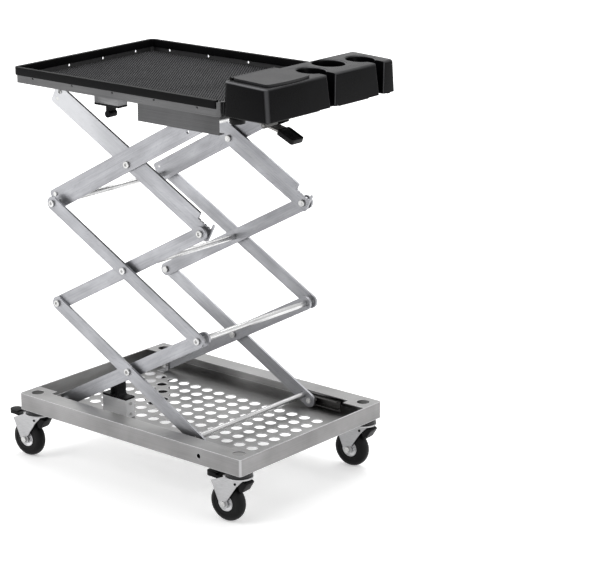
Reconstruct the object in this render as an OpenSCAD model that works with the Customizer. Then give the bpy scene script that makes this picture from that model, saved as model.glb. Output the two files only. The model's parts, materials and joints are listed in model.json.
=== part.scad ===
// Rolling scissor-lift table: base pan on casters, three scissor stages, tray with holder.
// Lengths are in millimetres. X runs along the long side, Y across it, Z up from the floor.

/* [Base pan] */
// Length of the base pan
pan_l = 600; // [570:1:680]
// Depth of the base pan
pan_d = 430; // [420:1:480]
// Height of the base pan's walls
pan_h = 34; // [33:1:40]
// Thickness of the base pan's sheet
pan_t = 2; // [1:0.5:3]
// Radius of the base pan's upright corners
pan_r = 5; // [4:0.5:8]
// Width of the flanges along the long sides
flange_w = 38; // [25:1:38]
// Side of the plates in the corners
corner_w = 54; // [48:1:64]
// Diameter of the access holes over the casters
access_d = 26; // [22:1:30]
// Diameter of the floor's perforations
perf_d = 23; // [12:1:26]
// Spacing of the floor's perforations
perf_pitch = 33; // [30:1:50]
// Bare border of the floor at its short ends
perf_end = 57; // [20:1:80]
// Bare border of the floor at its long sides
perf_side = 92; // [60:1:120]
// Offset of the perforations' middle towards the right end
perf_dx = -13; // [-20:0.5:20]
// Offset of the perforations' middle towards the far side
perf_dy = 12.5; // [-20:0.5:20]
// Diameter of the hole in the near wall
wall_hole_d = 10; // [6:1:14]
// Distance of that hole from the right end
wall_hole_in = 106; // [60:1:200]

/* [Casters] */
// Height from the floor to the pan
caster_h = 106; // [104:1:125]
// Diameter of the wheels
wheel_d = 76; // [60:1:76]
// Width of the tyres
tyre_w = 24; // [18:1:26]
// Diameter of the bright wheel centres
hub_d = 34; // [30:1:40]
// Diameter of the wheel axles
axle_d = 8; // [6:0.5:9]
// Offset of a wheel behind its kingpin
trail = 26; // [22:1:30]
// Distance of the kingpins from the pan's edges
stem_in = 26; // [26:1:32]
// Diameter of the kingpin bolts
stem_d = 10; // [8:0.5:12]
// Diameter of the swivel heads
head_d = 52; // [46:1:54]
// Height of the swivel heads
head_h = 9; // [7:0.5:10]
// Thickness of the forks' sheet
fork_t = 2.5; // [2:0.5:3]
// Distance of a brake pedal's round end from the kingpin
pedal_reach = 60; // [56:1:64]
// Reach of a fork's legs behind their axle, under the pedal
fork_over = 29; // [24:1:30]
// Swivel of the casters as photographed
swivel_rest = 5; // [0:1:40]

/* [Scissor] */
// Length of a bar between its end pivots
arm_l = 440; // [435:1:470]
// Slope of the bars with the table raised
rest_angle = 28.4; // [22:0.1:30]
// Rise of one stage with the table folded
fold_rise = 24; // [24:0.5:30]
// Distance of the left pivots from the pan's left end
pivot_in = 69; // [66:1:72]
// Height of the lower pivots over the floor sheet
pivot_rise = 16; // [16:0.5:18]
// Width of the narrow bars
bar_w = 28; // [22:1:28]
// Height of the wide bars over their pivots
wide_up = 28; // [22:1:28]
// Thickness of the bars
bar_t = 5; // [4:0.5:5]
// Gap between neighbouring bars
bar_gap = 1; // [0.8:0.1:1.5]
// Distance of the bars' middle layer from the pan's long sides
plane_in = 58; // [56:1:66]
// Diameter of the pivot pins
pin_d = 8; // [6:0.5:9]
// Diameter of the cross rods
rod_d = 12; // [10:0.5:12]
// Diameter of the bolt heads and spacers
bolt_head_d = 14; // [11:0.5:14]
// Thickness of the bolt heads
bolt_head_h = 4; // [3:0.5:4]
// Diameter of the sliding bushes
bush_d = 14; // [13:0.5:14]
// Width of the sliding bushes
bush_w = 12; // [8:0.5:12]
// Thickness of the guide rails
rail_t = 1.5; // [1:0.25:1.5]
// Length of the tray's guide rails beyond the raised axle
rail_back = 146; // [60:1:160]

/* [Tray] */
// Length of the tray
tray_l = 541; // [535:1:560]
// Depth of the tray
tray_d = 395; // [390:1:410]
// Height of the tray's walls
tray_h = 28; // [24:1:36]
// Thickness of the tray's sheet
tray_t = 2; // [1.5:0.5:3]
// Distance of the tray's left end from the pan's left end
tray_in = 2; // [0:1:20]
// Height of the tray's underside over the top pivots
tray_over = 33; // [33:0.5:40]
// Corner radius of the tray
tray_r = 10; // [6:1:14]
// Height of the rubber trim
trim_h = 15.5; // [9:0.5:16]
// Thickness of the rubber trim
trim_t = 3; // [2:0.25:4]
// Bare length of the tray's right end without trim
trim_stop = 7; // [5:1:40]
// Thickness of the mat
mat_t = 6; // [3:0.5:8]
// Diameter of the holes in the tray's walls
tray_hole_d = 5; // [3:0.5:6]
// Spacing of these holes
tray_hole_pitch = 109; // [90:1:115]

/* [Catch] */
// Length of the catch's riser and of the striker's block
catch_l = 66; // [56:1:80]
// Depth of the catch's riser
catch_d = 26; // [22:1:34]
// Height of the catch's riser
riser_h = 40; // [30:1:46]
// Distance of the catch from the pan's left end
catch_in = 185; // [160:1:210]
// Distance of the catch from the pan's near side
catch_from = 100; // [96:1:130]
// Thickness of the plates that carry the clip and the barrel
catch_plate = 4; // [3:0.5:6]
// Height of the striker's block
block_h = 33; // [25:1:36]
// Diameter of the striker's barrel
barrel_d = 14; // [10:0.5:16]
// Drop of the barrel's middle below the tray
barrel_drop = 53; // [50:0.5:56]
// Width of the barrel and of the clip's jaws
jaw_w = 22; // [16:1:22]
// Thickness of the clip's jaws
jaw_t = 4; // [3:0.5:6]
// Height of the jaws' lips over the barrel's middle
jaw_over = 11; // [9:0.5:14]

/* [Holder] */
// Length of the holder
holder_l = 375; // [368:1:385]
// Width of the holder
holder_w = 110; // [104:1:120]
// Height of the holder at its front
holder_h = 61; // [50:1:80]
// Rise of the holder's top from its front to its back
holder_rise = 4.5; // [2:0.5:8]
// Lean of the holder's front and back towards its middle
holder_lean = 4; // [1:0.5:4]
// Distance of the holder from the tray's right end
holder_gap = 6; // [6:1:24]
// Wall thickness of the holder
holder_t = 4; // [3:0.5:5]
// Corner radius of the holder
holder_r = 10; // [10:1:16]
// Length of the lidded compartment
box_l = 115; // [105:1:125]
// Thickness of the web beside the compartment
box_web = 25; // [15:1:30]
// Thickness of the lid
lid_t = 5; // [4:0.5:8]
// Diameter of the first slotted hole
slot_a_d = 56; // [46:1:58]
// Distance of the slotted holes' middle from the holder's back
slot_in = 58; // [50:1:62]
// Diameter of the cup
cup_d = 64; // [50:1:64]
// Distance of the cup's middle from the holder's back
cup_in = 40; // [40:1:48]
// Diameter of the second slotted hole
slot_b_d = 56; // [46:1:58]
// Width of the slots at their top
slot_w = 25; // [20:1:34]
// Width of the slots at their bottom
slot_foot = 13; // [12:1:20]
// Thickness of the web between the holes
hole_web = 13; // [10:1:16]
// Thickness of the holder's bracket
bracket_t = 4; // [3:0.5:5]
// Diameter of the clamp knobs
knob_d = 30; // [24:1:36]
// Height of the clamp knobs
knob_h = 11; // [8:0.5:14]

/* [Lever] */
// Width of the release lever
lever_w = 30; // [20:1:36]
// Thickness of the release lever
lever_t = 4; // [3:0.5:5]
// Slope of the release lever
lever_angle = 13; // [10:0.5:16]
// Slope of the grip
grip_angle = 24; // [18:0.5:30]
// Length of the lever from its pin to its grip
lever_out = 32; // [30:1:45]
// Reach of the lever's tail past the raised axle
lever_past = 8; // [6:1:12]
// Length of the grip
grip_l = 42; // [34:1:56]
// Thickness of the grip
grip_t = 11; // [9:0.5:14]
// Diameter of the lever's pin
lever_pin_d = 6; // [4:0.5:7]

/* [Clearances] */
// Radial clearance of a pin in its bore
pin_clear = 0.1; // [0.05:0.05:0.3]
// Side clearance of pieces that turn or slide on each other
side_clear = 0.3; // [0.2:0.05:0.4]
// Clearance of pieces that are fixed in each other
fit_clear = 0.1; // [0.05:0.05:0.2]

/* [Hidden] */
$fn = 64;

// Small excess that lets a cut run clear through a face
cut = 1;
// Small overlap that joins solids which would only touch
lap = 0.01;
// Heights
pan_z = caster_h;
floor_z = pan_z + pan_t;
rim_z = pan_z + pan_h;
// Scissor lattice
span = arm_l * cos(rest_angle);
rise = arm_l * sin(rest_angle);
fold_angle = asin(fold_rise / arm_l);
fold_span = arm_l * cos(fold_angle);
x_l = -pan_l / 2 + pivot_in;
x_r = x_l + span;
x_c = x_l + span / 2;
x_fold = x_l + fold_span;
z_0 = floor_z + pivot_rise;
z_1 = z_0 + rise;
z_2 = z_0 + 2 * rise;
z_3 = z_0 + 3 * rise;
bar_half = bar_w / 2;
bore_d = pin_d + 2 * pin_clear;
layer = bar_t + bar_gap;
plane_o = pan_d / 2 - plane_in;
function lay(k) = plane_o + (k - 3) * layer;
function lay_in(k) = lay(k) - bar_t / 2;
function lay_out(k) = lay(k) + bar_t / 2;
wide_r = 6;
// Sliding axles and their guide rails
cap_t = 1.5;
rail_lip = 1.5;
rail_room = cap_t + 0.7;
// Rods, rivets and cuts in the bars
foot_rod_in = 18;
stub_head_t = 2;
rivet_up = 17;
rivet_d = 5;
rivet_head_d = rivet_d + 4;
rivet_head_t = 2;
bump_in = 37;
bump_d = 7;
notch_l = 36;
notch_end = 10;
notch_floor = fold_rise - rod_d / 2 - 3;
tooth = 4;
// Lugs at the left pivots
foot_lug_r = 9;
foot_lug_gap = 0.5;
foot_lug_pad = 18;
lug_r = 11;
lug_t = 3;
lug_gap = 0.8;
lug_pad = 20;
// Tray
tray_z = z_3 + tray_over;
tray_x0 = -pan_l / 2 + tray_in;
tray_x1 = tray_x0 + tray_l;
tray_y0 = -tray_d / 2;
tray_floor = tray_z + tray_t;
tray_top = tray_z + tray_h;
trim_x1 = tray_x1 - trim_stop;
trim_leg = trim_t + fit_clear;
hole_z = (tray_floor + mat_t + tray_top + trim_t - trim_h) / 2;
hole_x0 = 51;
hole_end = 30;
hole_y_pitch = 97;
// Catch
catch_x = -pan_l / 2 + catch_in;
catch_y = -pan_d / 2 + catch_from;
drop = 3 * (rise - fold_rise);
barrel_z = tray_z - barrel_drop;
barrel_fold = barrel_z - drop;
clip_z = floor_z + riser_h;
jaw_in = barrel_d / 2 + side_clear;
jaw_lip = 5;
screw_d = 6;
screw_h = 2;
screw_pitch = 22;
// Casters
wheel_r = wheel_d / 2;
stem_x = pan_l / 2 - stem_in;
stem_y = pan_d / 2 - stem_in;
head_z = pan_z - head_h;
plate_t = 3;
plate_z = head_z - side_clear - plate_t;
plate_lip = 1;
pin_head_h = 4;
leg_gap = 2.5;
leg_r = 10;
leg_fall = 13.5;
leg_in = tyre_w / 2 + leg_gap;
leg_out = leg_in + fork_t;
pedal_pin_d = 5;
pedal_pin_x = 2;
pedal_pin_z = plate_z - 10;
pedal_half = leg_in - 1.5;
pedal_room = 2.2;
pedal_t = 8;
pedal_lift = 4;
hub_gap = 0.8;
hub_step = 1.5;
// Holder
holder_x0 = tray_x1 + holder_gap;
holder_x1 = holder_x0 + holder_w;
holder_y0 = tray_y0 + 2;
holder_y1 = holder_y0 + holder_l;
holder_z = tray_z + bracket_t;
holder_top = holder_z + holder_h;
holder_floor = 6;
box_in = 12;
box_x0 = holder_x0 + holder_t + box_in;
box_x1 = holder_x1 - box_in;
box_y0 = holder_y0 + holder_t + box_in;
box_y1 = box_y0 + box_l;
slot_a_y = box_y1 + box_web + slot_a_d / 2;
cup_y = slot_a_y + slot_a_d / 2 + hole_web + cup_d / 2;
slot_b_y = cup_y + cup_d / 2 + hole_web + slot_b_d / 2;
slot_x = holder_x0 + slot_in;
cup_x = holder_x0 + cup_in;
holder_all = holder_h + holder_rise;
top_slope = atan2(holder_rise, holder_w - 2 * holder_lean);
function top_at(x) = holder_top + (holder_x1 - holder_lean - x) * tan(top_slope);
function slot_half(h) = slot_foot / 2 + (slot_w - slot_foot) / 2 * h / holder_h;
lid_over = 4;
lid_bow = 5;
lid_pin_d = 3;
lid_barrel_d = lid_t + 1;
lid_pin_x = box_x0 - 5;
lid_pin_z = top_at(lid_pin_x) + (side_clear + lid_t / 2) / cos(top_slope);
lid_y = (box_y0 + box_y1) / 2;
lid_ear = 6;
lid_half = box_l / 2 + lid_over;
lid_barrel = lid_half - lid_ear - 2 * side_clear;
lid_pin_l = 8;
groove_d = lid_barrel_d + 2;
knob_in = 4;
stud_d = 6;
knob_x = box_x0 + stud_d / 2;
stud_gap = 0.5;
stud_in = holder_floor - 1;
slots = [[slot_a_y, slot_a_d], [slot_b_y, slot_b_d]];
bracket_in = 8;
// Lever
lever_under = side_clear + 0.1;
lever_boss = lever_pin_d + 6;
lever_pin_in = 13;
lever_pin_x = x_fold - lever_pin_in;
lever_back = (lever_pin_x - x_r + lever_past) / cos(lever_angle);
lever_pin_z = z_3 - rod_d / 2 - lever_under - lever_t / 2 - lever_back * sin(lever_angle);
ear_t = 3;
ear_x0 = x_fold + rod_d / 2 + 2;
ear_x1 = ear_x0 + lever_boss;
knee_z = z_3 - rod_d / 2 - 1;
knee_drop = 5;
lever_pin_out = 1.5;
grip_w = lever_w + 5;
grip_r = 5;
grip_end = 6;
// Steps along the lever and square to it, for a slope a
function along(l, a) = [l * cos(a), -l * sin(a)];
function above(l, a) = [l * sin(a), l * cos(a)];
// Middle of the bounding box on the floor
pedal_end_x = -stem_x - pedal_reach * cos(swivel_rest) - pedal_half;
pedal_end_y = -stem_y - pedal_reach * sin(swivel_rest) - pedal_half;
base_end_y = max(pan_d / 2, stem_y + head_d / 2 + plate_lip);
box_x = (holder_x1 + pedal_end_x) / 2;
box_y = (base_end_y + min(-base_end_y, pedal_end_y)) / 2;

// Moves the model so that its box stands centred on the origin
module framed() { translate([-box_x, -box_y, 0]) children(); }
// Near piece and its mirror image on the far side
module pair() {
  children();
  mirror([0, 1, 0]) children();
}
// Cylinder along Y on the near side, from o0 to o1 outwards
module out_pin(d, o0, o1) {
  translate([0, -o0, 0]) rotate([90, 0, 0]) cylinder(d = d, h = o1 - o0);
}
// Cylinder along Y across the middle
module mid_pin(d, o) { out_pin(d, -o, o); }
// Rectangle with round corners
module round_rect(x0, y0, x1, y1, r) {
  translate([x0 + r, y0]) square([x1 - x0 - 2 * r, y1 - y0]);
  translate([x0, y0 + r]) square([x1 - x0, y1 - y0 - 2 * r]);
  for (x = [x0 + r, x1 - r], y = [y0 + r, y1 - r]) translate([x, y]) circle(r = r);
}
// Stands an XZ outline up as a plate on the near side, from o0 to o1 outwards
module plate_xz(o0, o1) {
  translate([0, -o0, 0]) rotate([90, 0, 0]) linear_extrude(height = o1 - o0) children();
}

// Base pan
module pan_outline(grow) {
  round_rect(-pan_l / 2 - grow, -pan_d / 2 - grow, pan_l / 2 + grow, pan_d / 2 + grow, pan_r + grow);
}
module at_stems(z) {
  for (sx = [-1, 1], sy = [-1, 1]) translate([sx * stem_x, sy * stem_y, z]) children();
}
module base_pan() {
  nx = floor((pan_l - 2 * perf_end - perf_d) / perf_pitch);
  ny = floor((pan_d - 2 * perf_side - perf_d) / perf_pitch);
  color("silver") framed() difference() {
    translate([0, 0, pan_z]) linear_extrude(height = pan_h) pan_outline(0);
    translate([0, 0, floor_z]) linear_extrude(height = pan_h - 2 * pan_t) pan_outline(-pan_t);
    translate([0, 0, rim_z - pan_t - cut]) linear_extrude(height = pan_t + 2 * cut) {
      square([pan_l - 2 * corner_w, pan_d - 2 * flange_w], center = true);
      square([pan_l - 2 * pan_t, pan_d - 2 * corner_w], center = true);
    }
    at_stems(rim_z - pan_t - cut) cylinder(d = access_d, h = pan_t + 2 * cut);
    at_stems(pan_z - cut) cylinder(d = stem_d + 2 * fit_clear, h = pan_t + 2 * cut);
    translate([0, 0, pan_z - cut]) linear_extrude(height = pan_t + 2 * cut) for (i = [0:nx], j = [0:ny])
      translate([perf_dx + (i - nx / 2) * perf_pitch, perf_dy + (j - ny / 2) * perf_pitch])
        circle(d = perf_d, $fn = 32);
    translate([pan_l / 2 - wall_hole_in, -pan_d / 2 - cut, pan_z + pan_h / 2])
      rotate([-90, 0, 0]) cylinder(d = wall_hole_d, h = pan_t + 2 * cut);
  }
}
module base_rails() {
  half = bush_d / 2 + side_clear;
  o0 = lay_out(4) + rail_lip;
  o1 = lay_out(4) + side_clear + bush_w + rail_room;
  x0 = x_r - bush_d;
  x1 = x_fold + bush_d;
  color("lightgray") framed() pair() translate([x0, -o1 - rail_t, 0]) {
    translate([0, 0, floor_z]) cube([x1 - x0, rail_t, z_0 + half + rail_t - floor_z]);
    translate([0, 0, z_0 - half - rail_t]) cube([x1 - x0, o1 + rail_t - o0, rail_t]);
    translate([0, 0, z_0 + half]) cube([x1 - x0, o1 + rail_t - o0, rail_t]);
  }
}
module base_lugs() {
  r = foot_lug_r;
  o1 = lay_in(2) - foot_lug_gap;
  o0 = o1 - lug_t;
  color("gray") framed() pair() difference() {
    union() {
      translate([x_l, 0, z_0]) out_pin(2 * r, o0, o1);
      translate([x_l - r, -o1, floor_z]) cube([2 * r, lug_t, z_0 - floor_z]);
      translate([x_l - r, -o1, floor_z]) cube([2 * r, foot_lug_pad, lug_t]);
    }
    translate([x_l, 0, z_0]) out_pin(pin_d + 2 * fit_clear, o0 - cut, o1 + cut);
  }
}
module base_lug_bolts() {
  o0 = lay_in(2) - foot_lug_gap - lug_t;
  color("gainsboro") framed() pair() translate([x_l, 0, z_0]) {
    out_pin(pin_d, o0, lay_out(2) + side_clear);
    out_pin(bolt_head_d, lay_out(2) + side_clear, lay_out(2) + side_clear + bolt_head_h);
    out_pin(bolt_head_d, o0 - bolt_head_h, o0);
  }
}
// Catch on the base
module catch_riser() {
  color("lightgray") framed() translate([catch_x, catch_y, floor_z]) difference() {
    translate([-catch_l / 2, -catch_d / 2, 0]) cube([catch_l, catch_d, riser_h]);
    translate([pan_t - catch_l / 2, pan_t - catch_d / 2, -cut])
      cube([catch_l - 2 * pan_t, catch_d - 2 * pan_t, riser_h - pan_t + cut]);
  }
}
module catch_clip() {
  tip_z = barrel_fold + jaw_over;
  foot = jaw_in + jaw_t;
  color("black") framed() translate([catch_x, catch_y, 0]) {
    translate([-catch_l / 2, -catch_d / 2, clip_z]) cube([catch_l, catch_d, catch_plate]);
    rotate([90, 0, 0]) translate([0, 0, -jaw_w / 2]) linear_extrude(height = jaw_w) {
      for (s = [0, 1]) mirror([s, 0]) polygon([
        [jaw_in, clip_z + catch_plate - lap], [foot + 3, clip_z + catch_plate - lap],
        [foot, clip_z + catch_plate + 4], [foot, tip_z - jaw_lip], [foot + jaw_lip, tip_z],
        [foot + jaw_lip - jaw_t, tip_z], [jaw_in, tip_z - jaw_lip - 1]
      ]);
    }
  }
}
module catch_screws() {
  color("gainsboro") framed() for (z = [riser_h / 2 - screw_pitch / 2, riser_h / 2 + screw_pitch / 2])
    translate([catch_x + catch_l / 2, catch_y, floor_z + z]) rotate([0, 90, 0])
      cylinder(d = screw_d, h = screw_h);
}

// Casters, each built at its kingpin with the wheel trailing towards -X
module at_caster(sx, sy) {
  framed() translate([sx * stem_x, sy * stem_y, 0]) rotate([0, 0, swivel_rest]) children();
}
module each_caster() {
  for (sx = [-1, 1], sy = [-1, 1]) at_caster(sx, sy) children();
}
module caster_heads() {
  color([0.12, 0.12, 0.13]) each_caster() translate([0, 0, head_z]) difference() {
    cylinder(d = head_d, h = head_h);
    translate([0, 0, -cut]) cylinder(d = stem_d + 2 * fit_clear, h = head_h + 2 * cut);
  }
}
module kingpins() {
  color("gainsboro") each_caster() {
    translate([0, 0, plate_z - side_clear]) cylinder(d = stem_d, h = floor_z - plate_z + side_clear);
    translate([0, 0, plate_z - side_clear - pin_head_h]) cylinder(d = 2 * stem_d, h = pin_head_h);
    translate([0, 0, floor_z]) cylinder(d = 1.8 * stem_d, h = 0.8 * stem_d, $fn = 6);
  }
}
module fork() {
  back = trail + fork_over;
  flat = head_d / 2;
  difference() {
    union() {
      translate([0, 0, plate_z]) linear_extrude(height = plate_t) {
        circle(d = head_d + 2 * plate_lip);
        translate([-flat, -leg_out]) square([flat + 20, 2 * leg_out]);
      }
      for (s = [0, 1]) mirror([0, s, 0]) plate_xz(leg_in, leg_out) {
        polygon([[-back, plate_z - leg_fall], [2 - flat, plate_z + lap], [20, plate_z + lap], [4, plate_z - 16],
          [9 - trail, wheel_r + 9], [-leg_r - trail, wheel_r]]);
        translate([-trail, wheel_r]) circle(r = leg_r);
      }
    }
    translate([0, 0, plate_z - cut]) cylinder(d = stem_d + 2 * pin_clear, h = plate_t + 2 * cut);
    translate([-trail, 0, wheel_r]) mid_pin(axle_d + 2 * fit_clear, leg_out + cut);
    translate([pedal_pin_x, 0, pedal_pin_z]) mid_pin(pedal_pin_d + 2 * pin_clear, leg_out + cut);
  }
}
module pedal() {
  z0 = pedal_pin_z;
  z1 = z0 - 2 + pedal_lift;
  tip = pedal_reach;
  difference() {
    union() {
      plate_xz(-pedal_half, pedal_half) polygon([
        [4 - tip, z1], [4 - tip, z1 + pedal_t - 2], [-8, z0 + 5], [22, z0 + 5], [26, z0 + 2],
        [15, z0 - 16], [9, z0 - 14], [7, z0 - 5], [-5, z0 - 5], [-9, z0 - 2]
      ]);
      translate([-tip, 0, z1]) linear_extrude(height = pedal_t) {
        circle(r = pedal_half);
        translate([0, -pedal_half]) square([pedal_half, 2 * pedal_half]);
      }
      translate([pedal_pin_x, 0, z0]) mid_pin(pedal_pin_d, leg_out + 1);
    }
    translate([0, 0, plate_z - side_clear - pin_head_h - pedal_room]) cylinder(d = 2 * stem_d + 6, h = 20);
  }
}
module tyre() {
  translate([-trail, 0, wheel_r]) rotate([90, 0, 0]) rotate_extrude() intersection() {
    union() {
      translate([wheel_r - tyre_w / 2, 0]) circle(d = tyre_w);
      translate([hub_d / 2, -tyre_w / 2]) square([wheel_r - tyre_w / 2 - hub_d / 2, tyre_w]);
    }
    translate([hub_d / 2 + fit_clear, -tyre_w]) square([wheel_r, 2 * tyre_w]);
  }
}
module hub() {
  w = leg_in - hub_gap;
  translate([-trail, 0, wheel_r]) difference() {
    union() {
      mid_pin(hub_d, tyre_w / 2 - hub_step);
      mid_pin(axle_d + 12, w);
    }
    mid_pin(axle_d + 2 * pin_clear, w + cut);
  }
}
module axle() {
  translate([-trail, 0, wheel_r]) {
    mid_pin(axle_d, leg_out);
    for (s = [0, 1]) mirror([0, s, 0])
      translate([0, -leg_out, 0]) rotate([90, 0, 0]) cylinder(d = 1.6 * axle_d, h = 4, $fn = 6);
  }
}
module fork_fl() { color("silver") at_caster(-1, -1) fork(); }
module fork_fr() { color("silver") at_caster(1, -1) fork(); }
module fork_bl() { color("silver") at_caster(-1, 1) fork(); }
module fork_br() { color("silver") at_caster(1, 1) fork(); }
module pedal_fl() { color([0.1, 0.1, 0.1]) at_caster(-1, -1) pedal(); }
module pedal_fr() { color([0.1, 0.1, 0.1]) at_caster(1, -1) pedal(); }
module pedal_bl() { color([0.1, 0.1, 0.1]) at_caster(-1, 1) pedal(); }
module pedal_br() { color([0.1, 0.1, 0.1]) at_caster(1, 1) pedal(); }
module tyre_fl() { color([0.07, 0.07, 0.07]) at_caster(-1, -1) tyre(); }
module tyre_fr() { color([0.07, 0.07, 0.07]) at_caster(1, -1) tyre(); }
module tyre_bl() { color([0.07, 0.07, 0.07]) at_caster(-1, 1) tyre(); }
module tyre_br() { color([0.07, 0.07, 0.07]) at_caster(1, 1) tyre(); }
module hub_fl() { color("gainsboro") at_caster(-1, -1) hub(); }
module hub_fr() { color("gainsboro") at_caster(1, -1) hub(); }
module hub_bl() { color("gainsboro") at_caster(-1, 1) hub(); }
module hub_br() { color("gainsboro") at_caster(1, 1) hub(); }
module axle_fl() { color("gray") at_caster(-1, -1) axle(); }
module axle_fr() { color("gray") at_caster(1, -1) axle(); }
module axle_bl() { color("gray") at_caster(-1, 1) axle(); }
module axle_br() { color("gray") at_caster(1, 1) axle(); }

// Scissor bars: drawn along X from their left pivot, then sloped
module bar_holes(d) {
  for (x = [0, arm_l / 2, arm_l]) translate([x, 0]) circle(d = d);
}
module narrow_bar() {
  difference() {
    union() {
      translate([0, -bar_half]) square([arm_l, bar_w]);
      for (x = [0, arm_l]) translate([x, 0]) circle(d = bar_w);
    }
    bar_holes(bore_d);
  }
}
module wide_bar() {
  difference() {
    round_rect(-bar_half, -bar_half, arm_l + bar_half, wide_up, wide_r);
    bar_holes(bore_d);
  }
}
// slope is +1 for a bar that rises to the right and -1 for one that falls
module set_bar(k, z, slope) {
  pair() translate([x_l, 0, z]) rotate([0, -slope * rest_angle, 0])
    plate_xz(lay_in(k), lay_out(k)) children();
}
module arms_a() {
  color("silver") framed() set_bar(1, z_3, -1) difference() {
    wide_bar();
    translate([arm_l + notch_end - notch_l, notch_floor]) square([notch_l, wide_up]);
    for (i = [1:4]) translate([arm_l + notch_end - notch_l + 2 * tooth * i, notch_floor])
      polygon([[-tooth / 2, cut], [tooth / 2, cut], [tooth / 2, 0], [0, -tooth / 2], [-tooth / 2, 0]]);
    translate([0, rivet_up]) circle(d = rivet_d + 2 * fit_clear);
  }
}
module arms_b() {
  color("silver") framed() set_bar(2, z_2, 1) difference() {
    wide_bar();
    translate([0, rivet_up]) circle(d = rivet_d + 2 * fit_clear);
    translate([arm_l - bump_in, 0]) circle(d = bump_d);
  }
}
module arms_c() { color("silver") framed() set_bar(5, z_2, -1) narrow_bar(); }
module arms_d() { color("silver") framed() set_bar(3, z_1, 1) narrow_bar(); }
module arms_e() {
  color("silver") framed() set_bar(4, z_1, -1) difference() {
    narrow_bar();
    translate([arm_l - foot_rod_in, 0]) circle(d = pin_d + 2 * fit_clear);
  }
}
module arms_f() { color("silver") framed() set_bar(2, z_0, 1) narrow_bar(); }

// Rods, axles and bolts of the scissor
module outer_head(k) {
  out_pin(bolt_head_d, lay_out(k) + side_clear, lay_out(k) + side_clear + bolt_head_h);
}
module inner_nut(k) {
  out_pin(bolt_head_d, lay_in(k) - side_clear - bolt_head_h, lay_in(k) - side_clear);
}
module spacer(k_in, k_out) {
  out_pin(bolt_head_d, lay_out(k_in) + side_clear, lay_in(k_out) - side_clear);
}
module cross_rod(k_in) {
  mid_pin(rod_d, lay_in(k_in) - side_clear);
  pair() {
    out_pin(pin_d, lay_in(k_in) - cut, lay_out(5) + side_clear);
    spacer(k_in, 5);
    outer_head(5);
  }
}
module rod_left() { color("gainsboro") framed() translate([x_l, 0, z_2]) cross_rod(2); }
module rod_mid() { color("gainsboro") framed() translate([x_c, 0, z_1 + rise / 2]) cross_rod(3); }
module rod_right() { color("gainsboro") framed() translate([x_r, 0, z_1]) cross_rod(2); }
module slide_axle(k) {
  mid_pin(rod_d, lay_in(k) - side_clear);
  mid_pin(pin_d, lay_out(k) + side_clear + bush_w);
  pair() out_pin(rod_d, lay_out(k) + side_clear + bush_w, lay_out(k) + side_clear + bush_w + cap_t);
}
module axle_bottom() {
  color("gainsboro") framed() {
    translate([x_r - foot_rod_in * cos(rest_angle), 0, z_0 + foot_rod_in * sin(rest_angle)]) {
      mid_pin(rod_d, lay_in(4) - fit_clear);
      mid_pin(pin_d, lay_out(4));
    }
    pair() translate([x_r, 0, z_0]) {
      out_pin(pin_d, lay_in(4) - fit_clear, lay_out(4) + side_clear + bush_w);
      out_pin(rod_d, lay_in(4) - fit_clear - stub_head_t, lay_in(4) - fit_clear);
      out_pin(rod_d, lay_out(4) + side_clear + bush_w, lay_out(4) + side_clear + bush_w + cap_t);
    }
  }
}
module axle_top() { color("gainsboro") framed() translate([x_r, 0, z_3]) slide_axle(2); }
module slide_bush(k) {
  pair() difference() {
    out_pin(bush_d, lay_out(k) + side_clear, lay_out(k) + side_clear + bush_w);
    out_pin(pin_d + 2 * fit_clear, lay_out(k), lay_out(k) + bush_w + cut);
  }
}
module bushes_bottom() { color("white") framed() translate([x_r, 0, z_0]) slide_bush(4); }
module bushes_top() { color("white") framed() translate([x_r, 0, z_3]) slide_bush(2); }
module rivet(k, slope) {
  translate([x_l - slope * rivet_up * sin(rest_angle), 0, rivet_up * cos(rest_angle)]) {
    out_pin(rivet_d, lay_in(k), lay_out(k));
    out_pin(rivet_head_d, lay_out(k), lay_out(k) + rivet_head_t);
  }
}
module bolts_a() {
  color("gainsboro") framed() pair() {
    translate([x_c, 0, z_2 + rise / 2]) {
      out_pin(pin_d, lay_in(1) - side_clear - cut, lay_out(2) + side_clear);
      outer_head(2);
      inner_nut(1);
    }
    translate([x_r, 0, z_2]) {
      out_pin(pin_d, lay_in(1) - side_clear - cut, lay_out(3) + side_clear);
      spacer(1, 3);
      outer_head(3);
      inner_nut(1);
    }
    translate([0, 0, z_3]) rivet(1, -1);
  }
}
module bolts_e() {
  color("gainsboro") framed() pair() {
    translate([x_c, 0, z_0 + rise / 2]) {
      out_pin(pin_d, lay_in(2) - side_clear - cut, lay_out(4) + side_clear);
      spacer(2, 4);
      outer_head(4);
      inner_nut(2);
    }
    translate([x_l, 0, z_1]) {
      out_pin(pin_d, lay_in(3) - side_clear - cut, lay_out(4) + side_clear);
      outer_head(4);
      inner_nut(3);
    }
  }
}
module rivets_b() { color("gainsboro") framed() pair() translate([0, 0, z_2]) rivet(2, 1); }

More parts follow.
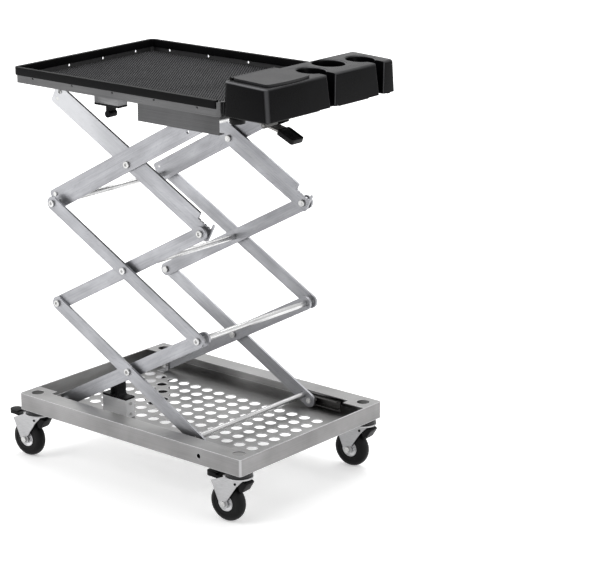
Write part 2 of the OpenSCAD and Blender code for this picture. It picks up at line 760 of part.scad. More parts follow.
// Tray
module tray_outline(grow) {
  round_rect(tray_x0 - grow, tray_y0 - grow, tray_x1 + grow, -tray_y0 + grow, tray_r + grow);
}
module tray_pan() {
  nx = floor((tray_l - hole_x0 - hole_end) / tray_hole_pitch);
  color("silver") framed() difference() {
    translate([0, 0, tray_z]) linear_extrude(height = tray_h) tray_outline(0);
    translate([0, 0, tray_floor]) linear_extrude(height = tray_h) tray_outline(-tray_t);
    for (i = [0:nx]) translate([tray_x0 + hole_x0 + i * tray_hole_pitch, 0, hole_z])
      mid_pin(tray_hole_d, tray_d / 2 + cut);
    for (i = [-1.5:1.5]) translate([tray_x0 - cut, i * hole_y_pitch, hole_z])
      rotate([0, 90, 0]) cylinder(d = tray_hole_d, h = tray_t + 2 * cut);
  }
}
module tray_trim() {
  z0 = tray_top + fit_clear + trim_t - trim_h;
  color([0.08, 0.08, 0.08]) framed() difference() {
    translate([0, 0, z0]) linear_extrude(height = trim_h) difference() {
      tray_outline(trim_leg);
      tray_outline(-tray_t - trim_leg);
      translate([trim_x1, -tray_d]) square([tray_l, 2 * tray_d]);
    }
    translate([0, 0, z0 - cut]) linear_extrude(height = trim_h - trim_t + cut) difference() {
      tray_outline(fit_clear);
      tray_outline(-tray_t - fit_clear);
    }
  }
}
module tray_mat() {
  color([0.16, 0.16, 0.17]) framed() translate([0, 0, tray_floor]) linear_extrude(height = mat_t)
    tray_outline(-tray_t - 1);
}
module tray_rails() {
  half = bush_d / 2 + side_clear;
  o0 = lay_out(2) + rail_lip;
  o1 = lay_out(2) + side_clear + bush_w + rail_room;
  z0 = z_3 - half - rail_t;
  x0 = x_r - rail_back;
  x1 = x_fold + bush_d / 2 + 2;
  color("lightgray") framed() pair() translate([x0, -o1 - rail_t, 0]) {
    translate([0, 0, z0]) cube([x1 - x0, rail_t, tray_z - z0]);
    translate([0, 0, z0]) cube([x1 - x0, o1 + rail_t - o0, rail_t]);
    translate([0, 0, tray_z - rail_t]) cube([x1 - x0, o1 + rail_t - o0, rail_t]);
  }
}
module tray_lugs() {
  o1 = lay_in(1) - lug_gap;
  o0 = o1 - lug_t;
  color("gray") framed() pair() difference() {
    union() {
      translate([x_l, 0, z_3]) out_pin(2 * lug_r, o0, o1);
      translate([x_l - lug_r, -o1, z_3]) cube([2 * lug_r, lug_t, tray_z - z_3]);
      translate([x_l - lug_r, -o1, tray_z - lug_t]) cube([2 * lug_r, lug_pad, lug_t]);
    }
    translate([x_l, 0, z_3]) out_pin(pin_d + 2 * fit_clear, o0 - cut, o1 + cut);
  }
}
module tray_lug_bolts() {
  o0 = lay_in(1) - lug_gap - lug_t;
  color("gainsboro") framed() pair() translate([x_l, 0, z_3]) {
    out_pin(pin_d, o0, lay_out(1));
    out_pin(bolt_head_d, o0 - bolt_head_h, o0);
  }
}
// Striker of the catch
module striker_block() {
  color("lightgray") framed() translate([catch_x - catch_l / 2, catch_y - catch_d / 2, tray_z - block_h])
    cube([catch_l, catch_d, block_h]);
}
module striker() {
  neck = barrel_d / 2;
  z1 = tray_z - block_h;
  color("black") framed() translate([catch_x, catch_y, 0]) {
    translate([-catch_l / 2, -catch_d / 2, z1 - catch_plate]) cube([catch_l, catch_d, catch_plate]);
    translate([-neck / 2, -jaw_w / 2, barrel_z]) cube([neck, jaw_w, z1 - catch_plate - barrel_z]);
    translate([0, 0, barrel_z]) mid_pin(barrel_d, jaw_w / 2);
  }
}

// Holder
module holder_outline(grow) {
  round_rect(holder_x0 - grow, holder_y0 - grow, holder_x1 + grow, holder_y1 + grow, holder_r + grow);
}
// Places of the clamp knobs, under the compartment
module at_knobs(z) {
  for (y = [box_y0 + knob_in, box_y1 - knob_in]) translate([knob_x, y, z]) children();
}
// Outline of everything that stands on the holder's floor, widened by t
module holder_pockets(t) {
  round_rect(box_x0 - t, box_y0 - t, box_x1 + t, box_y1 + t, holder_r);
  translate([cup_x, cup_y]) circle(d = cup_d + 2 * t);
  for (s = slots) {
    translate([slot_x, s[0]]) circle(d = s[1] + 2 * t);
    translate([slot_x, s[0] - slot_w / 2 - t]) square([holder_w, slot_w + 2 * t]);
  }
}
// Holder's block with its sloping top and leaning sides
module holder_block() {
  foot_x0 = holder_x0 - cut * holder_lean / holder_all;
  foot_x1 = holder_x1 + cut * holder_lean / holder_h;
  intersection() {
    translate([0, 0, holder_z]) linear_extrude(height = 2 * holder_h) holder_outline(0);
    plate_xz(-holder_y1 - cut, cut - holder_y0) polygon([
      [foot_x0, holder_z - cut], [foot_x1, holder_z - cut],
      [holder_x1 - holder_lean, holder_top], [holder_x0 + holder_lean, holder_z + holder_all]
    ]);
  }
}
module holder_shell() {
  inset = holder_t + holder_lean;
  color([0.1, 0.1, 0.11]) framed() difference() {
    union() {
      holder_block();
      translate([lid_pin_x, lid_y, 0]) pair() {
        translate([0, 0, lid_pin_z])
          out_pin(lid_barrel_d, lid_barrel + side_clear, lid_barrel + side_clear + lid_ear);
        translate([-lid_barrel_d / 2, -lid_barrel - side_clear - lid_ear, top_at(lid_pin_x) - cut])
          cube([lid_barrel_d, lid_ear, lid_pin_z - top_at(lid_pin_x) + cut]);
        translate([0, 0, lid_pin_z])
          out_pin(lid_pin_d, lid_barrel - lid_pin_l, lid_barrel + side_clear + cut);
      }
    }
    translate([0, 0, holder_z + holder_floor]) linear_extrude(height = holder_all)
      round_rect(box_x0, box_y0, box_x1, box_y1, holder_r);
    translate([cup_x, cup_y, holder_z + holder_floor]) cylinder(d = cup_d, h = holder_all);
    translate([0, 0, holder_z - cut]) linear_extrude(height = holder_h - holder_t + cut) difference() {
      holder_outline(-inset);
      holder_pockets(holder_t);
    }
    for (s = slots) translate([slot_x, s[0], holder_z]) {
      translate([0, 0, -cut]) cylinder(d = s[1], h = holder_all + 2 * cut);
      rotate([90, 0, 90]) linear_extrude(height = holder_w) polygon([
        [-slot_half(-cut), -cut], [slot_half(-cut), -cut],
        [slot_half(holder_all), holder_all], [-slot_half(holder_all), holder_all]
      ]);
    }
    translate([lid_pin_x, lid_y, lid_pin_z]) mid_pin(groove_d, lid_barrel - lid_pin_l);
    translate([lid_pin_x, lid_y, lid_pin_z]) pair() difference() {
      out_pin(groove_d, lid_barrel - lid_pin_l - lap, lid_barrel + side_clear);
      out_pin(lid_pin_d, lid_barrel - lid_pin_l, lid_barrel + side_clear + cut);
    }
    at_knobs(holder_z - cut) cylinder(d = stud_d + 2 * fit_clear, h = stud_in + cut);
  }
}
// Lid, level and with its hinge pin on the Y axis, then sloped with the holder's top
module holder_lid() {
  plate_x = lid_barrel_d / 2 + 1;
  front_x = box_x1 + lid_over - lid_pin_x;
  bow_r = (lid_half * lid_half + lid_bow * lid_bow) / (2 * lid_bow);
  color([0.13, 0.13, 0.14]) framed() translate([lid_pin_x, lid_y, lid_pin_z]) rotate([0, top_slope, 0])
    difference() {
      union() {
        translate([0, 0, -lid_t / 2]) linear_extrude(height = lid_t) {
          intersection() {
            round_rect(plate_x, -lid_half, front_x, lid_half, holder_r);
            translate([front_x - bow_r, 0]) circle(r = bow_r, $fn = 256);
          }
          translate([0, -lid_barrel]) square([2 * lid_barrel_d, 2 * lid_barrel]);
        }
        mid_pin(lid_barrel_d, lid_barrel);
      }
      mid_pin(lid_pin_d + 2 * pin_clear, lid_barrel + cut);
    }
}
module holder_bracket() {
  color("dimgray") framed() difference() {
    union() {
      translate([tray_x1, holder_y0 + bracket_in, tray_z])
        cube([holder_x1 - bracket_in - tray_x1, holder_l - 2 * bracket_in, bracket_t]);
      translate([tray_x1, holder_y0 + bracket_in, tray_z])
        cube([bracket_t, holder_l - 2 * bracket_in, tray_h]);
    }
    at_knobs(tray_z - cut) cylinder(d = stud_d + 2 * fit_clear, h = bracket_t + 2 * cut);
    for (s = slots) translate([slot_x - s[1] / 2 - cut, s[0] - s[1] / 2 - cut, tray_z - cut])
      cube([holder_w, s[1] + 2 * cut, bracket_t + 2 * cut]);
  }
}
module holder_knobs() {
  color([0.1, 0.1, 0.1]) framed() at_knobs(tray_z) {
    translate([0, 0, -knob_h]) cylinder(d = knob_d, h = knob_h);
    cylinder(d = stud_d, h = bracket_t + stud_in - stud_gap);
  }
}

// Release lever
module lever_bracket() {
  ear_in = lever_w / 2 + side_clear;
  crank = atan2(knee_z - lever_pin_z, ear_x0 - lever_pin_x);
  nx = -lever_boss / 2 * sin(crank);
  nz = lever_boss / 2 * cos(crank);
  color("lightgray") framed() difference() {
    union() {
      pair() plate_xz(ear_in, ear_in + ear_t) {
        polygon([[ear_x0, tray_z], [ear_x1, tray_z], [ear_x1, knee_z - knee_drop], [lever_pin_x - nx, lever_pin_z - nz],
          [lever_pin_x + nx, lever_pin_z + nz], [ear_x0, knee_z]]);
        translate([lever_pin_x, lever_pin_z]) circle(d = lever_boss);
      }
      translate([ear_x0, -ear_in - ear_t, tray_z - ear_t]) cube([lever_boss, 2 * (ear_in + ear_t), ear_t]);
    }
    translate([lever_pin_x, 0, lever_pin_z]) mid_pin(lever_pin_d + 2 * pin_clear, ear_in + ear_t + cut);
  }
}
module lever_bar() {
  half = lever_t / 2;
  mitre = half / cos((grip_angle - lever_angle) / 2);
  tail = along(-lever_back, lever_angle);
  bend = along(lever_out, lever_angle);
  tip = bend + along(grip_l - grip_end, grip_angle);
  middle = (lever_angle + grip_angle) / 2;
  color("silver") framed() translate([lever_pin_x, 0, lever_pin_z]) {
    mid_pin(lever_pin_d, lever_w / 2 + side_clear + ear_t + lever_pin_out);
    mid_pin(lever_boss - 1, lever_w / 2 - 1);
    plate_xz(-lever_w / 2, lever_w / 2) polygon([
      tail + above(half, lever_angle), bend + above(mitre, middle), tip + above(half, grip_angle),
      tip - above(half, grip_angle), bend - above(mitre, middle), tail - above(half, lever_angle)
    ]);
  }
}
module lever_grip() {
  bend = along(lever_out, lever_angle);
  color([0.1, 0.1, 0.1]) framed() translate([lever_pin_x + bend[0], 0, lever_pin_z + bend[1]])
    rotate([0, grip_angle, 0]) difference() {
      translate([0, 0, -grip_t / 2]) linear_extrude(height = grip_t)
        round_rect(0, -grip_w / 2, grip_l, grip_w / 2, grip_r);
      translate([-cut, -lever_w / 2 - fit_clear, -lever_t / 2 - fit_clear])
        cube([grip_l - grip_end + fit_clear + cut, lever_w + 2 * fit_clear, lever_t + 2 * fit_clear]);
    }
}

base_pan();
base_rails();
base_lugs();
base_lug_bolts();
catch_riser();
catch_clip();
catch_screws();
caster_heads();
kingpins();
fork_fl();
pedal_fl();
tyre_fl();
hub_fl();
axle_fl();
fork_fr();
pedal_fr();
tyre_fr();
hub_fr();
axle_fr();
fork_bl();
pedal_bl();
tyre_bl();
hub_bl();
axle_bl();
fork_br();
pedal_br();
tyre_br();
hub_br();
axle_br();
arms_a();
arms_b();
arms_c();
arms_d();
arms_e();
arms_f();
rod_left();
rod_mid();
rod_right();
axle_bottom();
axle_top();
bushes_bottom();
bushes_top();
bolts_a();
bolts_e();
rivets_b();
tray_pan();
tray_trim();
tray_mat();
tray_rails();
tray_lugs();
tray_lug_bolts();
striker_block();
striker();
holder_shell();
holder_lid();
holder_bracket();
holder_knobs();
lever_bracket();
lever_bar();
lever_grip();
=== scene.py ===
# %% [markdown]
# # Dressing a rolling scissor-lift table
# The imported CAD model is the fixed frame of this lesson: every bar, rod, caster and sheet is already in
# its place, in metres. Here each of them gets its finish, and the pieces whose softer forms matter to the
# eye (mat, moulded holder, lid, wheels, grips) are modelled again around the same sizes.

# %% Load the frame
import json
import math

import bpy
from mathutils import Matrix, Vector


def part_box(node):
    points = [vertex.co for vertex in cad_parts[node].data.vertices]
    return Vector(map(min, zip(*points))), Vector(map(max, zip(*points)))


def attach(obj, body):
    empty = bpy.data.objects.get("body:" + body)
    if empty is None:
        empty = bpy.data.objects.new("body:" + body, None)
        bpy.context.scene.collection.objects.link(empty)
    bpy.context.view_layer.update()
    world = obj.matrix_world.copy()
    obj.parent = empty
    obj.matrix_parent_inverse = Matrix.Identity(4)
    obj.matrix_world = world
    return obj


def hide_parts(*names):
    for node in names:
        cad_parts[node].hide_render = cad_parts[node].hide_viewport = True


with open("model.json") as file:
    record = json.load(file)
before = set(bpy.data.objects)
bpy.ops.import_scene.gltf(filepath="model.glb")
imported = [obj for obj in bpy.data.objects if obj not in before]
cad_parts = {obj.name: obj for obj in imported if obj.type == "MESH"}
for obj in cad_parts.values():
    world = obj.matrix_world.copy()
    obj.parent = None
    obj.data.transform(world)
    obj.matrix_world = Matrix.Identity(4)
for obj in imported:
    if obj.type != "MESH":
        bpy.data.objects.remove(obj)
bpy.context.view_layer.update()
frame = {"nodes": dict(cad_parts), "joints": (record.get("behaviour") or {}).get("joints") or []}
nodes = frame["nodes"]

# %% [markdown]
# The camera stands where the photographer stood: a little over four metres off, to the right of the near
# side and about twice as high as the tray. A long lens keeps the bars nearly parallel. The numbers come from
# fitting the model's corners and pivots to their places in the picture. The lens shift only sets the framing.

# %% Camera
EYE = Vector((2.85992, -3.11564, 1.62972))
YAW, PITCH, ROLL = 0.7317, 0.2553, -0.0138
forward = Vector((-math.sin(YAW) * math.cos(PITCH), math.cos(YAW) * math.cos(PITCH), -math.sin(PITCH)))
level = Vector((math.cos(YAW), math.sin(YAW), 0))
upward = level.cross(forward)
side = level * math.cos(ROLL) + upward * math.sin(ROLL)
crown = upward * math.cos(ROLL) - level * math.sin(ROLL)
bpy.ops.object.camera_add()
camera = bpy.context.object
camera.matrix_world = Matrix.Translation(EYE) @ Matrix((side, crown, -forward)).transposed().to_4x4()
camera.data.sensor_width = 36
camera.data.lens = 132.3
camera.data.shift_x = 0.1309
camera.data.shift_y = -0.1174
bpy.context.scene.camera = camera

# %% [markdown]
# A product photograph like this one is taken in a white cove with large soft lamps. Three area lamps stand
# in for them: one at the near left, one at the right end and the strongest above and behind.

# %% Lamps
def area_lamp(name, place, aim, size, power):
    bpy.ops.object.light_add(type="AREA", location=place)
    lamp = bpy.context.object
    lamp.name = name
    lamp.data.size = size
    lamp.data.energy = power
    lamp.rotation_euler = (Vector(aim) - Vector(place)).to_track_quat("-Z", "Y").to_euler()
    return lamp


AIM = (0, 0, 0.5)
lamps = [
    area_lamp("key_lamp", (-1.6, -2.6, 2.9), AIM, size=2.0, power=48),
    area_lamp("fill_lamp", (3.2, 0.4, 2.0), AIM, size=2.2, power=26),
    area_lamp("top_lamp", (-0.4, 1.2, 3.2), AIM, size=2.4, power=62),
]
bpy.context.scene.view_settings.view_transform = "Standard"
print("lamps:", [lamp.name for lamp in lamps])

# %% [markdown]
# The world is white where the camera looks, also in a mirror or through something clear. The light that it
# sheds on the table is weaker on the camera's side than behind the table, as in a cove that is open at the
# front. Two small helpers, for a range of values and for a sum of two values, serve all shaders below.

# %% White world
def spread(tree, value, low, high, start=0.3, end=0.7):
    """Make what runs from start to end run from low to high."""
    ranged = tree.nodes.new("ShaderNodeMapRange")
    ranged.inputs["From Min"].default_value = start
    ranged.inputs["From Max"].default_value = end
    ranged.inputs["To Min"].default_value = low
    ranged.inputs["To Max"].default_value = high
    tree.links.new(value, ranged.inputs["Value"])
    return ranged.outputs[0]


def combine(tree, a, b, kind="MULTIPLY"):
    """Work out one value from two."""
    maths = tree.nodes.new("ShaderNodeMath")
    maths.operation = kind
    tree.links.new(a, maths.inputs[0])
    tree.links.new(b, maths.inputs[1])
    return maths.outputs[0]


def looked_at(tree):
    """Give 1 where a surface is looked at and 0 where it only sheds light."""
    path = tree.nodes.new("ShaderNodeLightPath")
    plain = combine(tree, path.outputs["Is Camera Ray"], path.outputs["Is Transmission Ray"], "MAXIMUM")
    return combine(tree, plain, path.outputs["Is Glossy Ray"], "MAXIMUM")


BEHIND = (-0.65, 0.72, 0.25)
OPEN_SIDE, COVE_SIDE = 0.2, 1.0
world = bpy.data.worlds.new("white_cove")
bpy.context.scene.world = world
world.use_nodes = True
sky = world.node_tree
sky.nodes.clear()
towards = sky.nodes.new("ShaderNodeTexCoord")
behind = sky.nodes.new("ShaderNodeVectorMath")
behind.operation = "DOT_PRODUCT"
behind.inputs[1].default_value = BEHIND
sky.links.new(towards.outputs["Generated"], behind.inputs[0])
cove = spread(sky, behind.outputs["Value"], OPEN_SIDE, COVE_SIDE, -0.5, 0.6)
strength = sky.nodes.new("ShaderNodeMapRange")
strength.inputs["To Max"].default_value = 1.0
sky.links.new(cove, strength.inputs["To Min"])
sky.links.new(looked_at(sky), strength.inputs["Value"])
backdrop = sky.nodes.new("ShaderNodeBackground")
backdrop.inputs["Color"].default_value = (1, 1, 1, 1)
sky.links.new(strength.outputs[0], backdrop.inputs["Strength"])
out = sky.nodes.new("ShaderNodeOutputWorld")
sky.links.new(backdrop.outputs[0], out.inputs["Surface"])
print("world:", world.name)

# %% [markdown]
# The floor is pale and takes the soft shadow. Its own glow is seen only by the camera and in reflections, so
# it whitens the picture without lighting the table. The glow grows with the distance from the table.

# %% Floor
FLOOR_SIZE = 60
GLOW_NEAR, GLOW_FAR = 0.42, 0.95
GLOW_START, GLOW_END = 0.5, 2.2


def floor_finish():
    mat = bpy.data.materials.new("pale_floor")
    mat.use_nodes = True
    tree = mat.node_tree
    bsdf = tree.nodes["Principled BSDF"]
    bsdf.inputs["Base Color"].default_value = (0.86, 0.86, 0.86, 1)
    bsdf.inputs["Roughness"].default_value = 0.9
    bsdf.inputs["Specular IOR Level"].default_value = 0.1
    place = tree.nodes.new("ShaderNodeTexCoord")
    away = tree.nodes.new("ShaderNodeVectorMath")
    away.operation = "LENGTH"
    tree.links.new(place.outputs["Object"], away.inputs[0])
    glow = spread(tree, away.outputs["Value"], GLOW_NEAR, GLOW_FAR, GLOW_START, GLOW_END)
    bsdf.inputs["Emission Color"].default_value = (1, 1, 1, 1)
    tree.links.new(combine(tree, looked_at(tree), glow), bsdf.inputs["Emission Strength"])
    return mat


bpy.ops.object.select_all(action="DESELECT")
bpy.ops.mesh.primitive_plane_add(size=FLOOR_SIZE, location=(0, 0, 0))
floor = bpy.context.object
floor.name = "studio_floor"
floor.data.materials.append(floor_finish())
print("stage ready:", floor.name)

# %% [markdown]
# Materials come before pieces. Each one starts from Blender's Principled shader, and its colour, gloss
# and bump are driven by noise on Object coordinates, so a pattern keeps its real size in millimetres.
# A rounded-edge normal softens the crisp CAD edges, as a deburred sheet or a moulded part has them.

# %% Helpers for materials
def shade(name, colour, metallic, roughness):
    mat = bpy.data.materials.new(name)
    mat.use_nodes = True
    bsdf = mat.node_tree.nodes["Principled BSDF"]
    bsdf.inputs["Base Color"].default_value = (*colour, 1)
    bsdf.inputs["Metallic"].default_value = metallic
    bsdf.inputs["Roughness"].default_value = roughness
    return mat, mat.node_tree, bsdf


def noise(tree, scale, detail=4.0, turn=(0, 0, 0)):
    """Give noise that is turned first and then stretched along each axis."""
    place = tree.nodes.new("ShaderNodeTexCoord")
    mapping = tree.nodes.new("ShaderNodeMapping")
    mapping.inputs["Rotation"].default_value = turn
    grain = tree.nodes.new("ShaderNodeTexNoise")
    grain.inputs["Scale"].default_value = 1.0
    grain.inputs["Detail"].default_value = detail
    stretch = tree.nodes.new("ShaderNodeVectorMath")
    stretch.operation = "MULTIPLY"
    stretch.inputs[1].default_value = scale
    tree.links.new(place.outputs["Object"], mapping.inputs["Vector"])
    tree.links.new(mapping.outputs["Vector"], stretch.inputs[0])
    tree.links.new(stretch.outputs[0], grain.inputs["Vector"])
    return grain.outputs["Fac"]


def split(tree, vector):
    parts = tree.nodes.new("ShaderNodeSeparateXYZ")
    tree.links.new(vector, parts.inputs[0])
    return parts.outputs


def absolute(tree, value):
    unsigned = tree.nodes.new("ShaderNodeMath")
    unsigned.operation = "ABSOLUTE"
    tree.links.new(value, unsigned.inputs[0])
    return unsigned.outputs[0]


def tint(tree, bsdf, dark, light, value):
    ramp = tree.nodes.new("ShaderNodeValToRGB")
    ramp.color_ramp.elements[0].color = (*dark, 1)
    ramp.color_ramp.elements[1].color = (*light, 1)
    tree.links.new(value, ramp.inputs["Fac"])
    tree.links.new(ramp.outputs["Color"], bsdf.inputs["Base Color"])


def relief(tree, bsdf, value, strength, depth, edge=0.0006):
    soft = tree.nodes.new("ShaderNodeBevel")
    soft.samples = 4
    soft.inputs["Radius"].default_value = edge
    bump = tree.nodes.new("ShaderNodeBump")
    bump.inputs["Strength"].default_value = strength
    bump.inputs["Distance"].default_value = depth
    tree.links.new(value, bump.inputs["Height"])
    tree.links.new(soft.outputs["Normal"], bump.inputs["Normal"])
    tree.links.new(bump.outputs["Normal"], bsdf.inputs["Normal"])


print("material helpers ready")

# %% [markdown]
# **Brushed sheet.** The base pan and the tray are folded stainless sheet with a grind along their length.
# Stretched noise gives the fine lines; a second, large noise gives the cloudy patches of handling and
# cleaning. On the short end walls the grind runs across, so the two stretches are swapped by the normal.

# %% Brushed sheet
GRIND_LONG, GRIND_FINE, GRIND_DEPTH = 6, 900, 0.0002
CLOUDS = (9, 9, 9)


def brushed_sheet(name, dark, light, rough_low, rough_high, edge=0.0012, lined=0.55, metallic=1.0):
    mat, tree, bsdf = shade(name, light, metallic, rough_low)
    along = noise(tree, (GRIND_LONG, GRIND_FINE, GRIND_FINE), 3)
    across = noise(tree, (GRIND_FINE, GRIND_LONG, GRIND_FINE), 3)
    place = tree.nodes.new("ShaderNodeTexCoord")
    lines = tree.nodes.new("ShaderNodeMix")
    tree.links.new(absolute(tree, split(tree, place.outputs["Normal"])["X"]), lines.inputs["Factor"])
    tree.links.new(along, lines.inputs["A"])
    tree.links.new(across, lines.inputs["B"])
    grind = lines.outputs["Result"]
    clouds = noise(tree, CLOUDS, 5)
    mixed = combine(tree, spread(tree, grind, 0.0, lined), spread(tree, clouds, 0.0, 1 - lined), "ADD")
    tint(tree, bsdf, dark, light, mixed)
    tree.links.new(spread(tree, mixed, rough_high, rough_low, 0.1, 0.9), bsdf.inputs["Roughness"])
    relief(tree, bsdf, grind, 0.12, GRIND_DEPTH, edge)
    return mat


stainless_pan = brushed_sheet("stainless_pan", (0.26, 0.258, 0.256), (0.41, 0.408, 0.406), 0.3, 0.44,
                              edge=0.0015, lined=0.22)
stainless_tray = brushed_sheet("stainless_tray", (0.076, 0.076, 0.078), (0.13, 0.13, 0.132), 0.26, 0.4,
                               metallic=0.6)
rail_sheet = brushed_sheet("rail_sheet", (0.08, 0.079, 0.077), (0.135, 0.133, 0.13), 0.34, 0.48, 0.0008)
guide_sheet = brushed_sheet("guide_sheet", (0.056, 0.056, 0.057), (0.094, 0.094, 0.096), 0.34, 0.48, 0.0008,
                            lined=0.35)
lever_sheet = brushed_sheet("lever_sheet", (0.22, 0.214, 0.205), (0.36, 0.352, 0.34), 0.36, 0.5, 0.0008)
zinc_sheet = brushed_sheet("zinc_sheet", (0.34, 0.34, 0.345), (0.5, 0.5, 0.51), 0.32, 0.46, 0.0008)
sheets = (stainless_pan, stainless_tray, rail_sheet, guide_sheet, lever_sheet, zinc_sheet)
print("sheet finishes:", [m.name for m in sheets])

# %% [markdown]
# ** Painted shade and highlights.** The pan's outer walls get painted shade, darker than its flanges, and its
# edges and rounded corners get a painted highlight. A wall is outside where its normal points away from the
# middle of the base. A corner's normal lies between two walls, and an edge is where the rounded normal
# leaves the true one.

# %% Painted shade and highlights on the pan's walls
WALL_FROM, WALL_TO = 0.04, 0.12
CORNER_FROM, CORNER_TO = 0.1, 0.2
HIGHLIGHT_RADIUS = 0.0025


def dot(tree, a, b):
    product = tree.nodes.new("ShaderNodeVectorMath")
    product.operation = "DOT_PRODUCT"
    tree.links.new(a, product.inputs[0])
    tree.links.new(b, product.inputs[1])
    return product.outputs["Value"]


def overlay(tree, bsdf, factor, colour, blend="MIX"):
    """Lay a colour over what the base colour shows so far."""
    layer = tree.nodes.new("ShaderNodeMix")
    layer.data_type = "RGBA"
    layer.blend_type = blend
    tree.links.new(factor, layer.inputs["Factor"])
    tree.links.new(bsdf.inputs["Base Color"].links[0].from_socket, layer.inputs["A"])
    layer.inputs["B"].default_value = (*colour, 1)
    tree.links.new(layer.outputs["Result"], bsdf.inputs["Base Color"])


def paint_wall_shade_and_highlights(mat, wall_shade, corner):
    tree = mat.node_tree
    bsdf = tree.nodes["Principled BSDF"]
    place = tree.nodes.new("ShaderNodeTexCoord")
    flat = tree.nodes.new("ShaderNodeVectorMath")
    flat.operation = "MULTIPLY"
    flat.inputs[1].default_value = (1, 1, 0)
    tree.links.new(place.outputs["Object"], flat.inputs[0])
    outward = dot(tree, place.outputs["Normal"], flat.outputs[0])
    # Painted shade: walls that face outwards are multiplied by the darker wall colour.
    overlay(tree, bsdf, spread(tree, outward, 0.0, 1.0, WALL_FROM, WALL_TO), wall_shade, "MULTIPLY")
    facing = split(tree, place.outputs["Normal"])
    turned = absolute(tree, combine(tree, facing["X"], facing["Y"]))
    corner_highlight = combine(tree, spread(tree, turned, 0.0, 0.5, 0.12, 0.4),
                    spread(tree, outward, 0.0, 1.0, CORNER_FROM, CORNER_TO))
    eased = tree.nodes.new("ShaderNodeBevel")
    eased.samples = 8
    eased.inputs["Radius"].default_value = HIGHLIGHT_RADIUS
    surface = tree.nodes.new("ShaderNodeNewGeometry")
    level_with = dot(tree, eased.outputs["Normal"], surface.outputs["Normal"])
    edges = spread(tree, level_with, 1.0, 0.0, 0.85, 0.99)
    # Painted highlight: rounded corners and edges are lightened towards the corner colour.
    overlay(tree, bsdf, combine(tree, corner_highlight, edges, "MAXIMUM"), corner)


# The pan's outer walls get painted shade, and its corners and edges get a painted highlight.
paint_wall_shade_and_highlights(stainless_pan, (0.72, 0.715, 0.72), (0.56, 0.56, 0.57))
print("worn walls on", stainless_pan.name)

# %% [markdown]
# ** Bars.** The scissor bars are drawn flat aluminium. Their fine draw lines follow each bar, so the noise
# is turned by the bar's slope: one finish for bars that rise to the right, one for those that fall. Grey
# rub marks and light scratches sit on top, as on every bar that has been folded often. The highest pair
# carries a painted highlight towards its left end. Rods, bolts, blocks and wheel centres use the same recipe.

# %% Satin aluminium
SLOPE = math.radians(28.4)
RUB_MARKS, SCRATCHES, SCRATCH_TURN = (14, 22, 40), (60, 300, 420), 0.35
HIGHLIGHT_FROM, HIGHLIGHT_TO = -0.22, -0.02
DRAW_DEPTH, BAR_EDGE = 0.0002, 0.0007


def drawn_bar(name, turn, dark, light, lines=(8, 700, 700), rough=(0.34, 0.5), end=None, metallic=1.0):
    mat, tree, bsdf = shade(name, light, metallic, rough[0])
    draw = noise(tree, lines, 3, turn)
    rub = noise(tree, RUB_MARKS, 6, turn)
    scratch = noise(tree, SCRATCHES, 2, (turn[0], turn[1] + SCRATCH_TURN, turn[2]))
    marks = combine(tree, spread(tree, rub, 0.0, 0.6), spread(tree, draw, 0.0, 0.4), "ADD")
    worn = combine(tree, marks, spread(tree, scratch, 0.55, 1.0, 0.3, 0.42))
    tint(tree, bsdf, dark, light, worn)
    if end:
        place = tree.nodes.new("ShaderNodeTexCoord")
        along = split(tree, place.outputs["Object"])["X"]
        # Painted highlight: the bar is lightened towards its left end.
        overlay(tree, bsdf, spread(tree, along, 1.0, 0.0, HIGHLIGHT_FROM, HIGHLIGHT_TO), end)
    tree.links.new(spread(tree, worn, rough[1], rough[0], 0.1, 0.9), bsdf.inputs["Roughness"])
    relief(tree, bsdf, draw, 0.1, DRAW_DEPTH, BAR_EDGE)
    return mat


LEVEL, RISING, FALLING = (0, 0, 0), (0, SLOPE, 0), (0, -SLOPE, 0)
BAR_DARK, BAR_LIGHT = (0.24, 0.242, 0.254), (0.37, 0.373, 0.392)
bar_rising = drawn_bar("bar_rising", RISING, BAR_DARK, BAR_LIGHT)
bar_falling = drawn_bar("bar_falling", FALLING, BAR_DARK, BAR_LIGHT)
# The highest pair gets a painted highlight towards its left end.
bar_painted_highlight = drawn_bar("bar_painted_highlight", FALLING, BAR_DARK, BAR_LIGHT, end=(0.5, 0.505, 0.52))
drawn_rod = drawn_bar("drawn_rod", LEVEL, (0.46, 0.46, 0.46), (0.68, 0.68, 0.68), (700, 8, 700), (0.2, 0.34))
bolt_zinc = drawn_bar("bolt_zinc", LEVEL, (0.4, 0.4, 0.4), (0.62, 0.62, 0.61), (260, 260, 260), (0.24, 0.38))
block_aluminium = drawn_bar("block_aluminium", LEVEL, (0.76, 0.76, 0.765), (0.88, 0.88, 0.89), (12, 500, 500),
                            (0.5, 0.62), metallic=0.15)
spacer_grey = drawn_bar("spacer_grey", LEVEL, (0.13, 0.13, 0.132), (0.2, 0.2, 0.204), (12, 500, 500))
hub_bright = drawn_bar("hub_bright", LEVEL, (0.5, 0.5, 0.51), (0.72, 0.72, 0.73), (90, 90, 90), (0.22, 0.36))
metals = (bar_rising, bar_falling, bar_painted_highlight, drawn_rod, bolt_zinc, block_aluminium, spacer_grey, hub_bright)
print("metal finishes:", [m.name for m in metals])

# %% [markdown]
# ** Black mouldings and rubber.** Black plastic is never flat black: a fine spark-eroded grain breaks up
# its gloss, and faint dust greys it. Rubber is duller and a touch softer in tone. All of them share one
# recipe with a different grain size, gloss and tone. The holder's rounded rims and front corners get a painted
# highlight and its flat top a faint painted sheen, so its finish also looks at which way a face is turned.

# %% Plastics and rubbers
DUST = (16, 16, 22)


